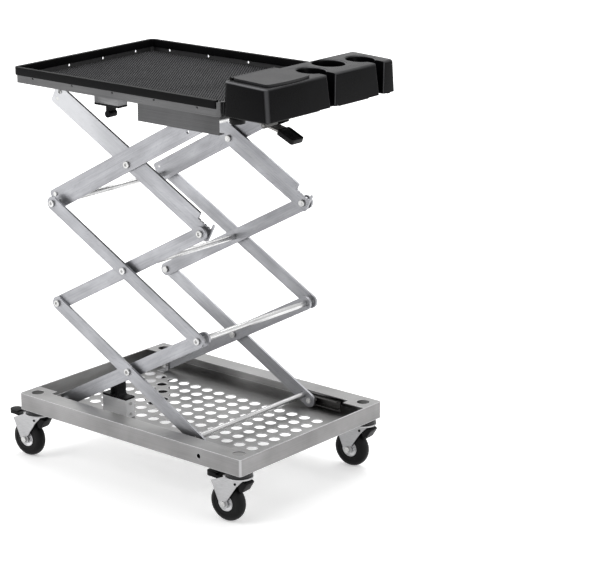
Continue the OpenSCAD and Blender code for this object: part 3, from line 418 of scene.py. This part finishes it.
def moulding(name, dark, light, rough, grain=900, depth=0.00012, edge=0.0009, spec=0.5):
    mat, tree, bsdf = shade(name, dark, 0.0, rough[0])
    bsdf.inputs["Specular IOR Level"].default_value = spec
    fine = noise(tree, (grain, grain, grain), 2)
    dust = noise(tree, DUST, 6)
    tint(tree, bsdf, dark, light, spread(tree, dust, 0.0, 1.0, 0.35, 0.75))
    gloss = combine(tree, spread(tree, dust, rough[0], rough[1], 0.35, 0.75), spread(tree, fine, 0.92, 1.08))
    tree.links.new(gloss, bsdf.inputs["Roughness"])
    relief(tree, bsdf, fine, 0.25, depth, edge)
    return mat


def paint_holder_highlights(mat, colour, front):
    tree = mat.node_tree
    bsdf = tree.nodes["Principled BSDF"]
    place = tree.nodes.new("ShaderNodeTexCoord")
    facing = split(tree, place.outputs["Normal"])
    at = split(tree, place.outputs["Object"])

    def turned(value):
        return combine(tree, spread(tree, value, 0.0, 1.0, 0.2, 0.6), spread(tree, value, 1.0, 0.0, 0.85, 0.97))

    # Painted highlights on the front corners and on the rims, strongest where they face the near end; painted
    # sheen on flat tops.
    at_front = spread(tree, at["X"], 0.0, 0.45, front - 0.014, front - 0.011)
    corners = combine(tree, turned(absolute(tree, facing["Y"])), at_front)
    rims = combine(tree, turned(facing["Z"]), spread(tree, facing["Y"], 1.0, 0.2, -0.6, -0.2))
    top_sheen = spread(tree, facing["Z"], 0.0, 0.16, 0.97, 0.99)
    painted_highlights = combine(tree, combine(tree, rims, corners, "MAXIMUM"), top_sheen, "MAXIMUM")
    overlay(tree, bsdf, painted_highlights, colour)


holder_black = moulding("holder_black", (0.0008, 0.0008, 0.0011), (0.0018, 0.0018, 0.0024), (0.26, 0.36),
                        grain=700, depth=0.00006, edge=0.0012, spec=0.06)
# The holder's rims and front corners get a painted highlight, and its flat top a painted sheen.
paint_holder_highlights(holder_black, (0.17, 0.17, 0.178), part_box("holder_shell")[1].x)
lid_grey = moulding("lid_grey", (0.010, 0.010, 0.011), (0.018, 0.018, 0.02), (0.4, 0.5),
                    grain=600, depth=0.00015, edge=0.001, spec=0.16)
trim_rubber = moulding("trim_rubber", (0.002, 0.002, 0.0023), (0.004, 0.004, 0.0045), (0.4, 0.5),
                       grain=500, depth=0.0001, edge=0.0008, spec=0.06)
mat_rubber = moulding("mat_rubber", (0.013, 0.013, 0.0145), (0.026, 0.026, 0.028), (0.5, 0.66),
                      grain=400, depth=0.0001, edge=0.0003, spec=0.16)
tyre_rubber = moulding("tyre_rubber", (0.002, 0.002, 0.0023), (0.006, 0.006, 0.0066), (0.42, 0.58),
                       grain=350, depth=0.00012, edge=0.0006, spec=0.16)
nylon_black = moulding("nylon_black", (0.003, 0.003, 0.0034), (0.007, 0.007, 0.0078), (0.42, 0.56),
                       grain=500, depth=0.00012, edge=0.0006, spec=0.12)
caster_black = moulding("caster_black", (0.006, 0.006, 0.0065), (0.014, 0.014, 0.015), (0.34, 0.48),
                        grain=500, depth=0.0001, edge=0.0008, spec=0.3)
coat_black = moulding("coat_black", (0.008, 0.008, 0.0085), (0.016, 0.016, 0.017), (0.5, 0.62),
                      grain=300, depth=0.0002, edge=0.0008, spec=0.3)
nylon_white = moulding("nylon_white", (0.7, 0.69, 0.66), (0.82, 0.81, 0.78), (0.45, 0.55),
                       grain=400, depth=0.0001, edge=0.0006)
mouldings = (holder_black, lid_grey, trim_rubber, mat_rubber, tyre_rubber, nylon_black, caster_black,
             coat_black, nylon_white)
print("moulded finishes:", [m.name for m in mouldings])

# %% [markdown]
# Every CAD node now takes one of these finishes. A node that is modelled again below hands its place on.

# %% Finishes on the CAD nodes
CASTERS = ("fl", "fr", "bl", "br")
finish_of = {
    "base_pan": stainless_pan, "tray_pan": stainless_tray, "tray_trim": trim_rubber, "tray_mat": mat_rubber,
    "base_rails": rail_sheet, "tray_rails": guide_sheet, "base_lugs": zinc_sheet, "tray_lugs": zinc_sheet,
    "lever_bracket": rail_sheet, "lever_bar": lever_sheet, "lever_grip": nylon_black,
    "catch_riser": block_aluminium, "striker_block": spacer_grey,
    "catch_clip": nylon_black, "striker": nylon_black, "catch_screws": bolt_zinc,
    "caster_heads": caster_black, "kingpins": bolt_zinc,
    "arms_a": bar_painted_highlight, "arms_b": bar_rising, "arms_c": bar_falling,
    "arms_d": bar_rising, "arms_e": bar_falling, "arms_f": bar_rising,
    "rod_left": drawn_rod, "rod_mid": drawn_rod, "rod_right": drawn_rod,
    "axle_bottom": drawn_rod, "axle_top": drawn_rod,
    "bushes_bottom": nylon_white, "bushes_top": nylon_white,
    "bolts_a": bolt_zinc, "bolts_e": bolt_zinc, "rivets_b": bolt_zinc,
    "base_lug_bolts": bolt_zinc, "tray_lug_bolts": bolt_zinc,
    "holder_shell": holder_black, "holder_lid": lid_grey, "holder_bracket": coat_black,
    "holder_knobs": nylon_black,
}
for corner in CASTERS:
    finish_of["fork_" + corner] = zinc_sheet
    finish_of["pedal_" + corner] = nylon_black
    finish_of["tyre_" + corner] = tyre_rubber
    finish_of["hub_" + corner] = hub_bright
    finish_of["axle_" + corner] = bolt_zinc
for name, finish in finish_of.items():
    nodes[name].data.materials.clear()
    nodes[name].data.materials.append(finish)
print("CAD nodes with a finish:", len(finish_of), "of", len(nodes))

# %% [markdown]
# Modelling comes next. Each new piece starts from a primitive, and its faces and edges are picked in code by
# their place before an operator shapes them. These small helpers make, pick, round and settle a piece, so that
# the cells below read like the steps one would do by hand. Others follow where they are first needed.

# %% Helpers for modelling
NEAR, CLOSE, SAME = 1e-3, 1e-4, 1e-5
FACING = 0.9
LYING = (math.pi / 2, 0, 0)
SMOOTH_ANGLE = math.radians(38)


def object_mode():
    bpy.ops.object.mode_set(mode="OBJECT")


def all_in_edit_mode():
    bpy.ops.object.mode_set(mode="EDIT")
    bpy.ops.mesh.select_all(action="SELECT")


def none_selected():
    if bpy.context.object and bpy.context.object.mode != "OBJECT":
        object_mode()
    bpy.ops.object.select_all(action="DESELECT")


def alone(piece):
    none_selected()
    piece.select_set(True)
    bpy.context.view_layer.objects.active = piece


def start(name):
    piece = bpy.context.object
    piece.name = name
    bpy.ops.object.transform_apply(location=True, rotation=True, scale=True)
    return piece


def block(name, low, high):
    none_selected()
    low, high = Vector(low), Vector(high)
    bpy.ops.mesh.primitive_cube_add(size=1, location=(low + high) / 2, scale=high - low)
    return start(name)


def drum(name, centre, radius, depth, sides=64, turn=(0, 0, 0)):
    none_selected()
    bpy.ops.mesh.primitive_cylinder_add(vertices=sides, radius=radius, depth=depth,
                                        location=centre, rotation=turn)
    return start(name)


def pick(piece, kind, test):
    """Select the points, edges or faces that pass the test, and stay in Edit mode."""
    alone(piece)
    bpy.ops.object.mode_set(mode="EDIT")
    bpy.ops.mesh.select_mode(type=kind)
    bpy.ops.mesh.select_all(action="DESELECT")
    object_mode()
    mesh = piece.data
    found = 0
    for item in {"VERT": mesh.vertices, "EDGE": mesh.edges, "FACE": mesh.polygons}[kind]:
        if kind == "VERT":
            item.select = bool(test(item.co))
        elif kind == "EDGE":
            item.select = bool(test(*[mesh.vertices[i].co for i in item.vertices]))
        else:
            item.select = bool(test(item.center, item.normal))
        found += item.select
    bpy.ops.object.mode_set(mode="EDIT")
    return found


def round_edges(piece, test, radius, segments):
    found = pick(piece, "EDGE", test)
    bpy.ops.mesh.bevel(offset=radius, segments=segments, profile=0.5, affect="EDGES", clamp_overlap=True)
    object_mode()
    return found


def settle(piece, finish, body, slot, *stands_for):
    """Set the normals and the finish, hand the piece to its body and hide the nodes that it replaces."""
    alone(piece)
    all_in_edit_mode()
    bpy.ops.mesh.normals_make_consistent(inside=False)
    object_mode()
    bpy.ops.object.shade_smooth_by_angle(angle=SMOOTH_ANGLE)
    piece.data.materials.clear()
    piece.data.materials.append(finish)
    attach(piece, body)
    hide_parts(*stands_for)
    print(piece.name, "for", stands_for, "faces", len(piece.data.polygons))


print("modelling helpers ready")

# %% [markdown]
# ** The studded mat.** The tray is lined with a rubber mat whose low round studs stand in diagonal rows. A bump
# map would be flat from the side, so the studs are real: one six-sided stud is modelled and repeated by two
# Array modifiers, once for each of two grids that lie half a step apart. A stud has only a few faces, because
# there are thousands of them. Their tops are coloured paler than the sheet between them, with a faint random
# variation.

# %% Studded mat
MAT_LOW, MAT_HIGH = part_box("tray_mat")
STEP_X, STEP_Y = 0.00585, 0.00851
STUD, STUD_R, STUD_SIDES, STUD_TAPER = 0.0014, 0.0019, 6, 0.72
EDGE, MAT_CORNER = 0.006, 0.007
TOP_PATCHES = (14, 14, 14)


def join(piece, others):
    alone(piece)
    for other in others:
        other.select_set(True)
    bpy.ops.object.join()


def stud_grid(name, part):
    first = Vector((MAT_LOW.x + EDGE + part * STEP_X, MAT_LOW.y + EDGE + part * STEP_Y, MAT_HIGH.z - STUD / 2))
    stud = drum(name, first, STUD_R, STUD, STUD_SIDES)
    pick(stud, "FACE", lambda c, n: n.z > FACING)
    bpy.ops.transform.resize(value=(STUD_TAPER, STUD_TAPER, 1), center_override=(first.x, first.y, MAT_HIGH.z))
    object_mode()
    for axis, step in ((0, STEP_X), (1, STEP_Y)):
        row = stud.modifiers.new("row", "ARRAY")
        row.use_relative_offset = False
        row.use_constant_offset = True
        row.constant_offset_displace = [step if i == axis else 0 for i in range(3)]
        row.count = int((MAT_HIGH[axis] - EDGE - first[axis]) / step) + 1
        bpy.ops.object.modifier_apply(modifier=row.name)
    return stud


def height_tint(mat, low, high, dark, light):
    tree = mat.node_tree
    place = tree.nodes.new("ShaderNodeTexCoord")
    height = split(tree, place.outputs["Object"])["Z"]
    paler_tops = combine(tree, spread(tree, height, 0.0, 1.0, low, high), spread(tree, noise(tree, TOP_PATCHES), 0.75, 1.0))
    tint(tree, tree.nodes["Principled BSDF"], dark, light, paler_tops)


height_tint(mat_rubber, MAT_HIGH.z - 0.8 * STUD, MAT_HIGH.z, (0.0025, 0.0025, 0.003), (0.07, 0.07, 0.074))
mat_sheet = block("mat_studded", MAT_LOW, (MAT_HIGH.x, MAT_HIGH.y, MAT_HIGH.z - STUD))
round_edges(mat_sheet, lambda a, b: abs(a.z - b.z) > NEAR, MAT_CORNER, 5)
join(mat_sheet, [stud_grid("studs_even", 0), stud_grid("studs_odd", 0.5)])
settle(mat_sheet, mat_rubber, "tray", "mat_rubber", "tray_mat")

# %% [markdown]
# **The tool holder.** It is a moulded black block with a top that slopes to the front, sides that lean inwards,
# one round cup, two round holes with open slots and a lidded compartment. A block is shaped first and its edges
# are rounded, then the hollows are carved with cutters that flare at their mouths, so every lip gets the soft
# moulded edge that catches the light.

# %% Holder block
H_LOW, H_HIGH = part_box("holder_shell")
FRONT_H, TOP_RISE, LEAN = 0.061, 0.0045, 0.004
CORNER_R, CORNER_STEPS, RIM_R, RIM_STEPS = 0.010, 6, 0.005, 5
FRONT_TOP = H_LOW.z + FRONT_H
TILT = math.atan2(TOP_RISE, H_HIGH.x - H_LOW.x - 2 * LEAN)


def shift(piece, test, move):
    pick(piece, "VERT", test)
    bpy.ops.transform.translate(value=move)
    object_mode()


def top_at(x):
    return FRONT_TOP + (H_HIGH.x - LEAN - x) * math.tan(TILT)


holder = block("holder_moulding", H_LOW, (H_HIGH.x, H_HIGH.y, FRONT_TOP))
shift(holder, lambda v: v.z > FRONT_TOP - NEAR and v.x > H_HIGH.x - NEAR, (-LEAN, 0, 0))
shift(holder, lambda v: v.z > FRONT_TOP - NEAR and v.x < H_LOW.x + NEAR, (LEAN, 0, TOP_RISE))
round_edges(holder, lambda a, b: abs(a.z - b.z) > 0.05, CORNER_R, CORNER_STEPS)
rim = round_edges(holder, lambda a, b: min(a.z - top_at(a.x), b.z - top_at(b.x)) > -0.0008, RIM_R, RIM_STEPS)
print("holder block with", rim, "rim edges rounded")

# %% [markdown]
# A cutter for a round hole is a cylinder whose top face is extruded up and widened in small steps, along a
# quarter circle. Its mouth is then turned to lie in the sloping top. The cutter for a slot is a wedge, wide at
# the top and narrow at the foot, and flares where it meets the front.

# %% Cutters for the holder
FLARE, STEPS, OVER = 0.0032, 4, 0.01
HOLE_X, HOLE_A_Y, HOLE_B_Y, HOLE_R = H_LOW.x + 0.058, H_LOW.y + 0.184, H_LOW.y + 0.330, 0.028
CUP_X, CUP_Y, CUP_R, CUP_FOOT = H_LOW.x + 0.040, H_LOW.y + 0.257, 0.032, H_LOW.z + 0.006
SLOT_TOP, SLOT_FOOT = 0.025, 0.013
BOX_LOW = Vector((H_LOW.x + 0.016, H_LOW.y + 0.016, H_LOW.z + 0.006))
BOX_HIGH = Vector((H_HIGH.x - 0.012, H_LOW.y + 0.131, FRONT_TOP + OVER))


def extrude(move):
    bpy.ops.mesh.extrude_region_move(TRANSFORM_OT_translate={"value": move})


def hole_cutter(x, y, radius, foot):
    mouth = top_at(x)
    tool = drum("hole_cutter", (x, y, (foot + mouth - FLARE) / 2), radius, mouth - FLARE - foot)
    pick(tool, "FACE", lambda c, n: n.z > FACING)
    rise, wide = 0.0, radius
    for i in range(1, STEPS + 1):
        turn = i / STEPS * math.pi / 2
        up, out = FLARE * math.sin(turn), radius + FLARE * (1 - math.cos(turn))
        extrude((0, 0, up - rise))
        bpy.ops.transform.resize(value=(out / wide, out / wide, 1), center_override=(x, y, mouth))
        rise, wide = up, out
    extrude((0, 0, OVER))
    object_mode()
    pick(tool, "VERT", lambda v: v.z > mouth - FLARE + SAME)
    bpy.ops.transform.rotate(value=-TILT, orient_axis="Y", center_override=(x, y, mouth))
    object_mode()
    return tool


def slot_cutter(y):
    foot, head = H_LOW.z - 0.001, FRONT_TOP + 0.006
    front = H_HIGH.x - FLARE
    tool = block("slot_cutter", (HOLE_X, y - SLOT_TOP / 2, foot), (front, y + SLOT_TOP / 2, head))
    pick(tool, "VERT", lambda v: v.z < foot + NEAR)
    bpy.ops.transform.resize(value=(1, SLOT_FOOT / SLOT_TOP, 1), center_override=(front, y, foot))
    object_mode()
    pick(tool, "FACE", lambda c, n: n.x > FACING)
    gone, wide = 0.0, 1.0
    for i in range(1, STEPS + 1):
        turn = i / STEPS * math.pi / 2
        far, out = FLARE * math.sin(turn), 1 + 4 * FLARE * (1 - math.cos(turn)) / (SLOT_TOP + SLOT_FOOT)
        extrude((far - gone, 0, 0))
        bpy.ops.transform.resize(value=(1, out / wide, 1), center_override=(front, y, head))
        gone, wide = far, out
    extrude((OVER, 0, 0))
    object_mode()
    lean = LEAN * (head - H_LOW.z) / FRONT_H
    shift(tool, lambda v: v.z > head - NEAR and v.x > front - SAME, (-lean, 0, 0))
    return tool


def box_cutter(grow, low_z, high_z):
    tool = block("box_cutter", (BOX_LOW.x - grow, BOX_LOW.y - grow, low_z),
                 (BOX_HIGH.x + grow, BOX_HIGH.y + grow, high_z))
    round_edges(tool, lambda a, b: abs(a.z - b.z) > 0.02, CORNER_R, CORNER_STEPS)
    return tool


print("cutters ready: hole, slot and compartment")

# %% [markdown]
# The holder is a thin-walled shell, open below. The cutter for its underside is itself carved first, so that it
# leaves walls around the compartment, the cup, the holes and the slots. Then the hollows are cut from above.

# %% Holder hollows
SKIN, WALL = 0.008, 0.004
CORE_Z, CORE_H = H_LOW.z + 0.03, 0.1


def carve(piece, cutter, kind="DIFFERENCE"):
    alone(piece)
    step = piece.modifiers.new("carve", "BOOLEAN")
    step.operation = kind
    step.solver = "EXACT"
    step.object = cutter
    bpy.ops.object.modifier_apply(modifier=step.name)
    bpy.data.objects.remove(cutter)


under = block("under_cutter", (H_LOW.x + SKIN, H_LOW.y + SKIN, H_LOW.z - 0.002),
              (H_HIGH.x - SKIN, H_HIGH.y - SKIN, FRONT_TOP - WALL))
carve(under, box_cutter(WALL, H_LOW.z - OVER, FRONT_TOP))
carve(under, drum("cup_core", (CUP_X, CUP_Y, CORE_Z), CUP_R + WALL, CORE_H))
for y in (HOLE_A_Y, HOLE_B_Y):
    carve(under, drum("hole_core", (HOLE_X, y, CORE_Z), HOLE_R + WALL, CORE_H))
    carve(under, block("slot_core", (HOLE_X, y - SLOT_TOP / 2 - WALL, H_LOW.z - 2 * OVER),
                       (H_HIGH.x + OVER, y + SLOT_TOP / 2 + WALL, FRONT_TOP + 2 * OVER)))
carve(holder, under)
carve(holder, box_cutter(0, BOX_LOW.z, BOX_HIGH.z))
carve(holder, hole_cutter(CUP_X, CUP_Y, CUP_R, CUP_FOOT))
for y in (HOLE_A_Y, HOLE_B_Y):
    carve(holder, hole_cutter(HOLE_X, y, HOLE_R, H_LOW.z - 0.002))
    carve(holder, slot_cutter(y))
print("holder carved:", len(holder.data.polygons), "faces")

# %% [markdown]
# Two ears carry the lid's hinge pin. One ear is a round boss on a small foot; its copy stands at the other end.

# %% Hinge ears
def joint_named(name):
    return next(j for j in frame["joints"] if j["name"] == name)


PIN = Vector(joint_named("lid_hinge")["pos_m"])
LID_HALF = 0.0615
BARREL = LID_HALF - 0.0066
EAR_AT, EAR_R, EAR_SIDES = BARREL + 0.0033, 0.003, 24


def soften(piece, radius, segments=3, angle=35):
    alone(piece)
    step = piece.modifiers.new("soften", "BEVEL")
    step.width = radius
    step.segments = segments
    step.limit_method = "ANGLE"
    step.angle_limit = math.radians(angle)
    bpy.ops.object.modifier_apply(modifier=step.name)


def hinge_ear(y):
    ear = drum("hinge_ear", (PIN.x, y, PIN.z), EAR_R, 2 * EAR_R, EAR_SIDES, LYING)
    foot = block("ear_foot", (PIN.x - EAR_R, y - EAR_R, top_at(PIN.x) - 0.001),
                 (PIN.x + EAR_R, y + EAR_R, PIN.z))
    carve(ear, foot, "UNION")
    soften(ear, 0.0005, 2)
    return ear


join(holder, [hinge_ear(PIN.y - EAR_AT), hinge_ear(PIN.y + EAR_AT)])
settle(holder, holder_black, "tray", "holder_black", "holder_shell")

# %% [markdown]
# **The lid.** A thin plate with a bowed front edge and a hinge barrel at the back. The plate is a block whose
# long edges are subdivided, so the front can be drawn back a little at each cut; its rim is then rounded. It is
# made level and laid into the slope of the holder's top by one turn about the hinge pin.

# %% Lid
LID_T, LID_BOW, CUTS = 0.005, 0.005, 19
LID_CORNER, LID_RIM, BARREL_R = 0.008, 0.0014, 0.0027
front = BOX_HIGH.x + 0.004
lid = block("holder_lid_plate", (PIN.x + 0.004, PIN.y - LID_HALF, PIN.z - LID_T / 2),
            (front, PIN.y + LID_HALF, PIN.z + LID_T / 2))
pick(lid, "EDGE", lambda a, b: abs(a.y - b.y) > 0.05)
bpy.ops.mesh.subdivide(number_cuts=CUTS)
object_mode()
for i in range(CUTS + 2):
    y = PIN.y + LID_HALF * (2 * i / (CUTS + 1) - 1)
    back = LID_BOW * ((y - PIN.y) / LID_HALF) ** 2
    shift(lid, lambda v: v.x > front - SAME and abs(v.y - y) < CLOSE, (-back, 0, 0))


def swing(piece, angle, centre):
    """Turn the whole mesh about a line along Y through the centre."""
    alone(piece)
    all_in_edit_mode()
    bpy.ops.transform.rotate(value=angle, orient_axis="Y", center_override=centre)
    object_mode()


def from_end(v):
    return abs(abs(v.y - PIN.y) - LID_HALF)


def on_rim(a, b):
    at_end = min(from_end(a), from_end(b)) < SAME
    return min(a.z, b.z) > PIN.z + LID_T / 2 - SAME and (at_end or abs(a.y - b.y) > 0.0005)


round_edges(lid, lambda a, b: abs(a.z - b.z) > 0.003 and from_end(a) < CLOSE, LID_CORNER, 5)
round_edges(lid, on_rim, LID_RIM, 3)
barrel = drum("lid_barrel", (PIN.x, PIN.y, PIN.z), BARREL_R, 2 * BARREL, EAR_SIDES, LYING)
soften(barrel, 0.0004, 2)
web = block("lid_web", (PIN.x, PIN.y - BARREL, PIN.z - 0.0015), (PIN.x + 0.006, PIN.y + BARREL, PIN.z + 0.0023))
soften(web, 0.0003, 2)
join(lid, [barrel, web])
swing(lid, -TILT, PIN)
lid_low = min((lid.matrix_world @ v.co for v in lid.data.vertices), key=lambda v: v.z)
print("gap under the lid's lowest point", round(lid_low.z - top_at(lid_low.x), 5), "m")
settle(lid, lid_grey, "lid", "lid_black", "holder_lid")

# %% [markdown]
# **The rubber trim** is a fat channel pushed over the tray's edge on three sides. A block with round corners
# is opened into a ring by insetting its top and bottom and bridging the two, the side at the holder is cut
# away, and a wide bevel gives the soft, round rubber edge.

# %% Rubber trim
T_LOW, T_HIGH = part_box("tray_pan")
TRIM_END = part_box("tray_trim")[1].x
TRIM_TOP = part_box("tray_trim")[1].z
TRIM_OUT, TRIM_WIDE, TRIM_H, TRIM_ROUND = 0.0031, 0.0082, 0.0155, 0.0032
TRAY_CORNER = 0.010
trim = block("rubber_trim", (T_LOW.x - TRIM_OUT, T_LOW.y - TRIM_OUT, TRIM_TOP - TRIM_H),
             (T_HIGH.x + TRIM_OUT, T_HIGH.y + TRIM_OUT, TRIM_TOP))
round_edges(trim, lambda a, b: abs(a.z - b.z) > 0.005, TRAY_CORNER + TRIM_OUT, 8)
pick(trim, "FACE", lambda c, n: abs(n.z) > FACING)
bpy.ops.mesh.inset(thickness=TRIM_WIDE)
bpy.ops.mesh.bridge_edge_loops()
bpy.ops.mesh.select_all(action="SELECT")
bpy.ops.mesh.bisect(plane_co=(TRIM_END, 0, 0), plane_no=(1, 0, 0), clear_outer=True, use_fill=True)
object_mode()
soften(trim, TRIM_ROUND, 5, 50)
settle(trim, trim_rubber, "tray", "trim_rubber", "tray_trim")

# %% [markdown]
# **Catch, knobs and other small mouldings** keep the CAD form. Each is a copy of its node, with the loose
# triangles merged and the flat faces joined again. A bevel takes the sharpness off, wider on knobs and pedals
# than on the metal blocks.

# %% Softened copies
def clean_copy(node, name):
    copy = bpy.data.objects.new(name, nodes[node].data.copy())
    bpy.context.collection.objects.link(copy)
    alone(copy)
    all_in_edit_mode()
    bpy.ops.mesh.remove_doubles(threshold=1e-6)
    bpy.ops.mesh.dissolve_limited(angle_limit=math.radians(1))
    object_mode()
    return copy


def softened(node, name, radius, finish, body, slot):
    copy = clean_copy(node, name)
    soften(copy, radius)
    settle(copy, finish, body, slot, node)


softened("catch_clip", "clip_jaws", 0.0010, nylon_black, "base", "catch_black")
softened("striker", "striker_barrel", 0.0010, nylon_black, "tray", "catch_black")
softened("striker_block", "striker_spacer", 0.0008, spacer_grey, "tray", "block_alu")
softened("catch_riser", "catch_stand", 0.0012, block_aluminium, "base", "block_alu")
softened("holder_knobs", "clamp_knobs", 0.0018, nylon_black, "tray", "knob_black")
softened("caster_heads", "swivel_heads", 0.0015, caster_black, "base", "caster_black")
for corner in CASTERS:
    softened("pedal_" + corner, "brake_pedal_" + corner, 0.0016, nylon_black, "pedal_" + corner, "pedal_black")

# %% [markdown]
# **Wheels.** A tyre is a drum whose two rims are bevelled wide into a round crown, with a sunk ring on each
# side and a bore for the centre. The centre is a turned disc with a dished face. Both are modelled once,
# standing at the origin with the axle along Y, and copied to the four casters, where the axle's direction
# comes from the joint.

# %% Wheels
WHEEL_R, TYRE_W, TYRE_CROWN, CENTRE_R = 0.038, 0.024, 0.0112, 0.017
AXLE_R, BORE_L, BORE_GAP, SIDES = 0.0041, 0.05, 0.0001, 64
ORIGIN = (0, 0, 0)


def stepped(piece, ring, sink):
    """Inset both end faces by a ring and sink what is inside it."""
    for way in (1, -1):
        pick(piece, "FACE", lambda c, n: n.y * way > FACING and abs(c.x) < CLOSE and abs(c.z) < CLOSE)
        bpy.ops.mesh.inset(thickness=ring)
        extrude((0, -way * sink, 0))
        object_mode()


tyre = drum("tyre_pattern", ORIGIN, WHEEL_R, TYRE_W, SIDES, LYING)
round_edges(tyre, lambda a, b: abs(a.y - b.y) < SAME and (a - b).length < 0.01, TYRE_CROWN, 8)
stepped(tyre, 0.0015, 0.0007)
stepped(tyre, 0.0006, 0.0)
carve(tyre, drum("tyre_bore", ORIGIN, CENTRE_R + BORE_GAP, BORE_L, SIDES, LYING))
disc = drum("centre_pattern", ORIGIN, CENTRE_R, TYRE_W - 0.003, SIDES, LYING)
stepped(disc, 0.0022, 0.0020)
stepped(disc, 0.0045, -0.0032)
soften(disc, 0.0005, 2)
carve(disc, drum("axle_bore", ORIGIN, AXLE_R, BORE_L, sides=32, turn=LYING))
for corner in CASTERS:
    joint = joint_named("wheel_" + corner)
    turn = math.atan2(-joint["axis"][0], joint["axis"][1])
    for pattern, name, finish, slot, node in ((tyre, "rubber_tyre_", tyre_rubber, "tyre", "tyre_"),
                                              (disc, "wheel_centre_", hub_bright, "hub_alu", "hub_")):
        copy = bpy.data.objects.new(name + corner, pattern.data.copy())
        bpy.context.collection.objects.link(copy)
        copy.location = joint["pos_m"]
        copy.rotation_euler = (0, 0, turn)
        alone(copy)
        bpy.ops.object.transform_apply(location=True, rotation=True, scale=True)
        settle(copy, finish, "wheel_" + corner, slot, node + corner)
for pattern in (tyre, disc):
    bpy.data.objects.remove(pattern)

# %% [markdown]
# **Bolts with sockets.** The pivots are held by round-headed bolts with a hexagon socket, dark inside a bright
# ring. Each fastener node is copied and its heads are softened; then a six-sided cutter sinks a socket into the
# middle of every outer head. The middle of a head is the middle of the outermost points of its loose piece.

# %% Bolts and rods
SOCKET_R, SOCKET_L, HEAD_ROUND = 0.0037, 0.005, 0.0009
MIDDLE_Y = frame["joints"][0]["pos_m"][1]


def loose_pieces(piece):
    """List the points of each connected piece of the mesh."""
    mesh = piece.data
    owner = list(range(len(mesh.vertices)))

    def root(i):
        while owner[i] != i:
            owner[i] = owner[owner[i]]
            i = owner[i]
        return i

    for edge in mesh.edges:
        owner[root(edge.vertices[0])] = root(edge.vertices[1])
    groups = {}
    for v in mesh.vertices:
        groups.setdefault(root(v.index), []).append(v.co.copy())
    return list(groups.values())


def socketed(node, name, finish, body, slot, both_ends=False):
    copy = clean_copy(node, name)
    tools = []
    for points in loose_pieces(copy):
        low, high = min(p.y for p in points), max(p.y for p in points)
        outer = low if (low + high) / 2 < MIDDLE_Y else high
        for end in (low, high) if both_ends else (outer,):
            rim = [p for p in points if abs(p.y - end) < SAME]
            x, z = (sum(p[i] for p in rim) / len(rim) for i in (0, 2))
            tools.append(drum("socket", (x, end, z), SOCKET_R, SOCKET_L, 6, LYING))
    soften(copy, HEAD_ROUND, 3, 50)
    for tool in tools:
        carve(copy, tool)
    settle(copy, finish, body, slot, node)
    print(name, "has", len(tools), "sockets")


socketed("bolts_a", "pivot_bolts_a", bolt_zinc, "arm_a", "fastener")
socketed("bolts_e", "pivot_bolts_e", bolt_zinc, "arm_e", "fastener")
for node, body in (("rod_left", "arm_c"), ("rod_mid", "arm_d"), ("rod_right", "arm_f")):
    socketed(node, "cross_" + node, drawn_rod, body, "rod_steel", True)

# %% [markdown]
# **The lever's grip** is a rubber sleeve with a flat, slightly sunk panel on both faces for the fingers. It
# is made level at the lever's bend, then turned down to the grip's slope.

# %% Lever grip
PIVOT = Vector(joint_named("lever_pivot")["pos_m"])
LEVER_SLOPE, GRIP_SLOPE, LEVER_OUT = math.radians(13), math.radians(24), 0.032
GRIP_L, GRIP_W, GRIP_T = 0.042, 0.035, 0.011
GRIP_CORNER, GRIP_ROUND = 0.005, 0.0014
PANEL_EDGE, PANEL_STEP, PANEL_SINK = 0.0035, 0.0008, 0.0012
BEND = PIVOT + LEVER_OUT * Vector((math.cos(LEVER_SLOPE), 0, -math.sin(LEVER_SLOPE)))
PANEL = BEND + Vector((GRIP_L / 2, 0, 0))
grip = block("grip_sleeve", BEND - Vector((0, GRIP_W / 2, GRIP_T / 2)),
             BEND + Vector((GRIP_L, GRIP_W / 2, GRIP_T / 2)))
round_edges(grip, lambda a, b: abs(a.z - b.z) > 0.005, GRIP_CORNER, 5)
round_edges(grip, lambda a, b: abs(a.z - b.z) < 1e-6, GRIP_ROUND, 3)
for way in (1, -1):
    pick(grip, "FACE", lambda c, n: n.z * way > FACING and max(abs(c.x - PANEL.x), abs(c.y - PANEL.y)) < 0.002)
    bpy.ops.mesh.inset(thickness=PANEL_EDGE)
    bpy.ops.mesh.inset(thickness=PANEL_STEP)
    bpy.ops.transform.translate(value=(0, 0, -way * PANEL_SINK))
    object_mode()
swing(grip, -GRIP_SLOPE, BEND)
settle(grip, nylon_black, "lever", "grip_rubber", "lever_grip")
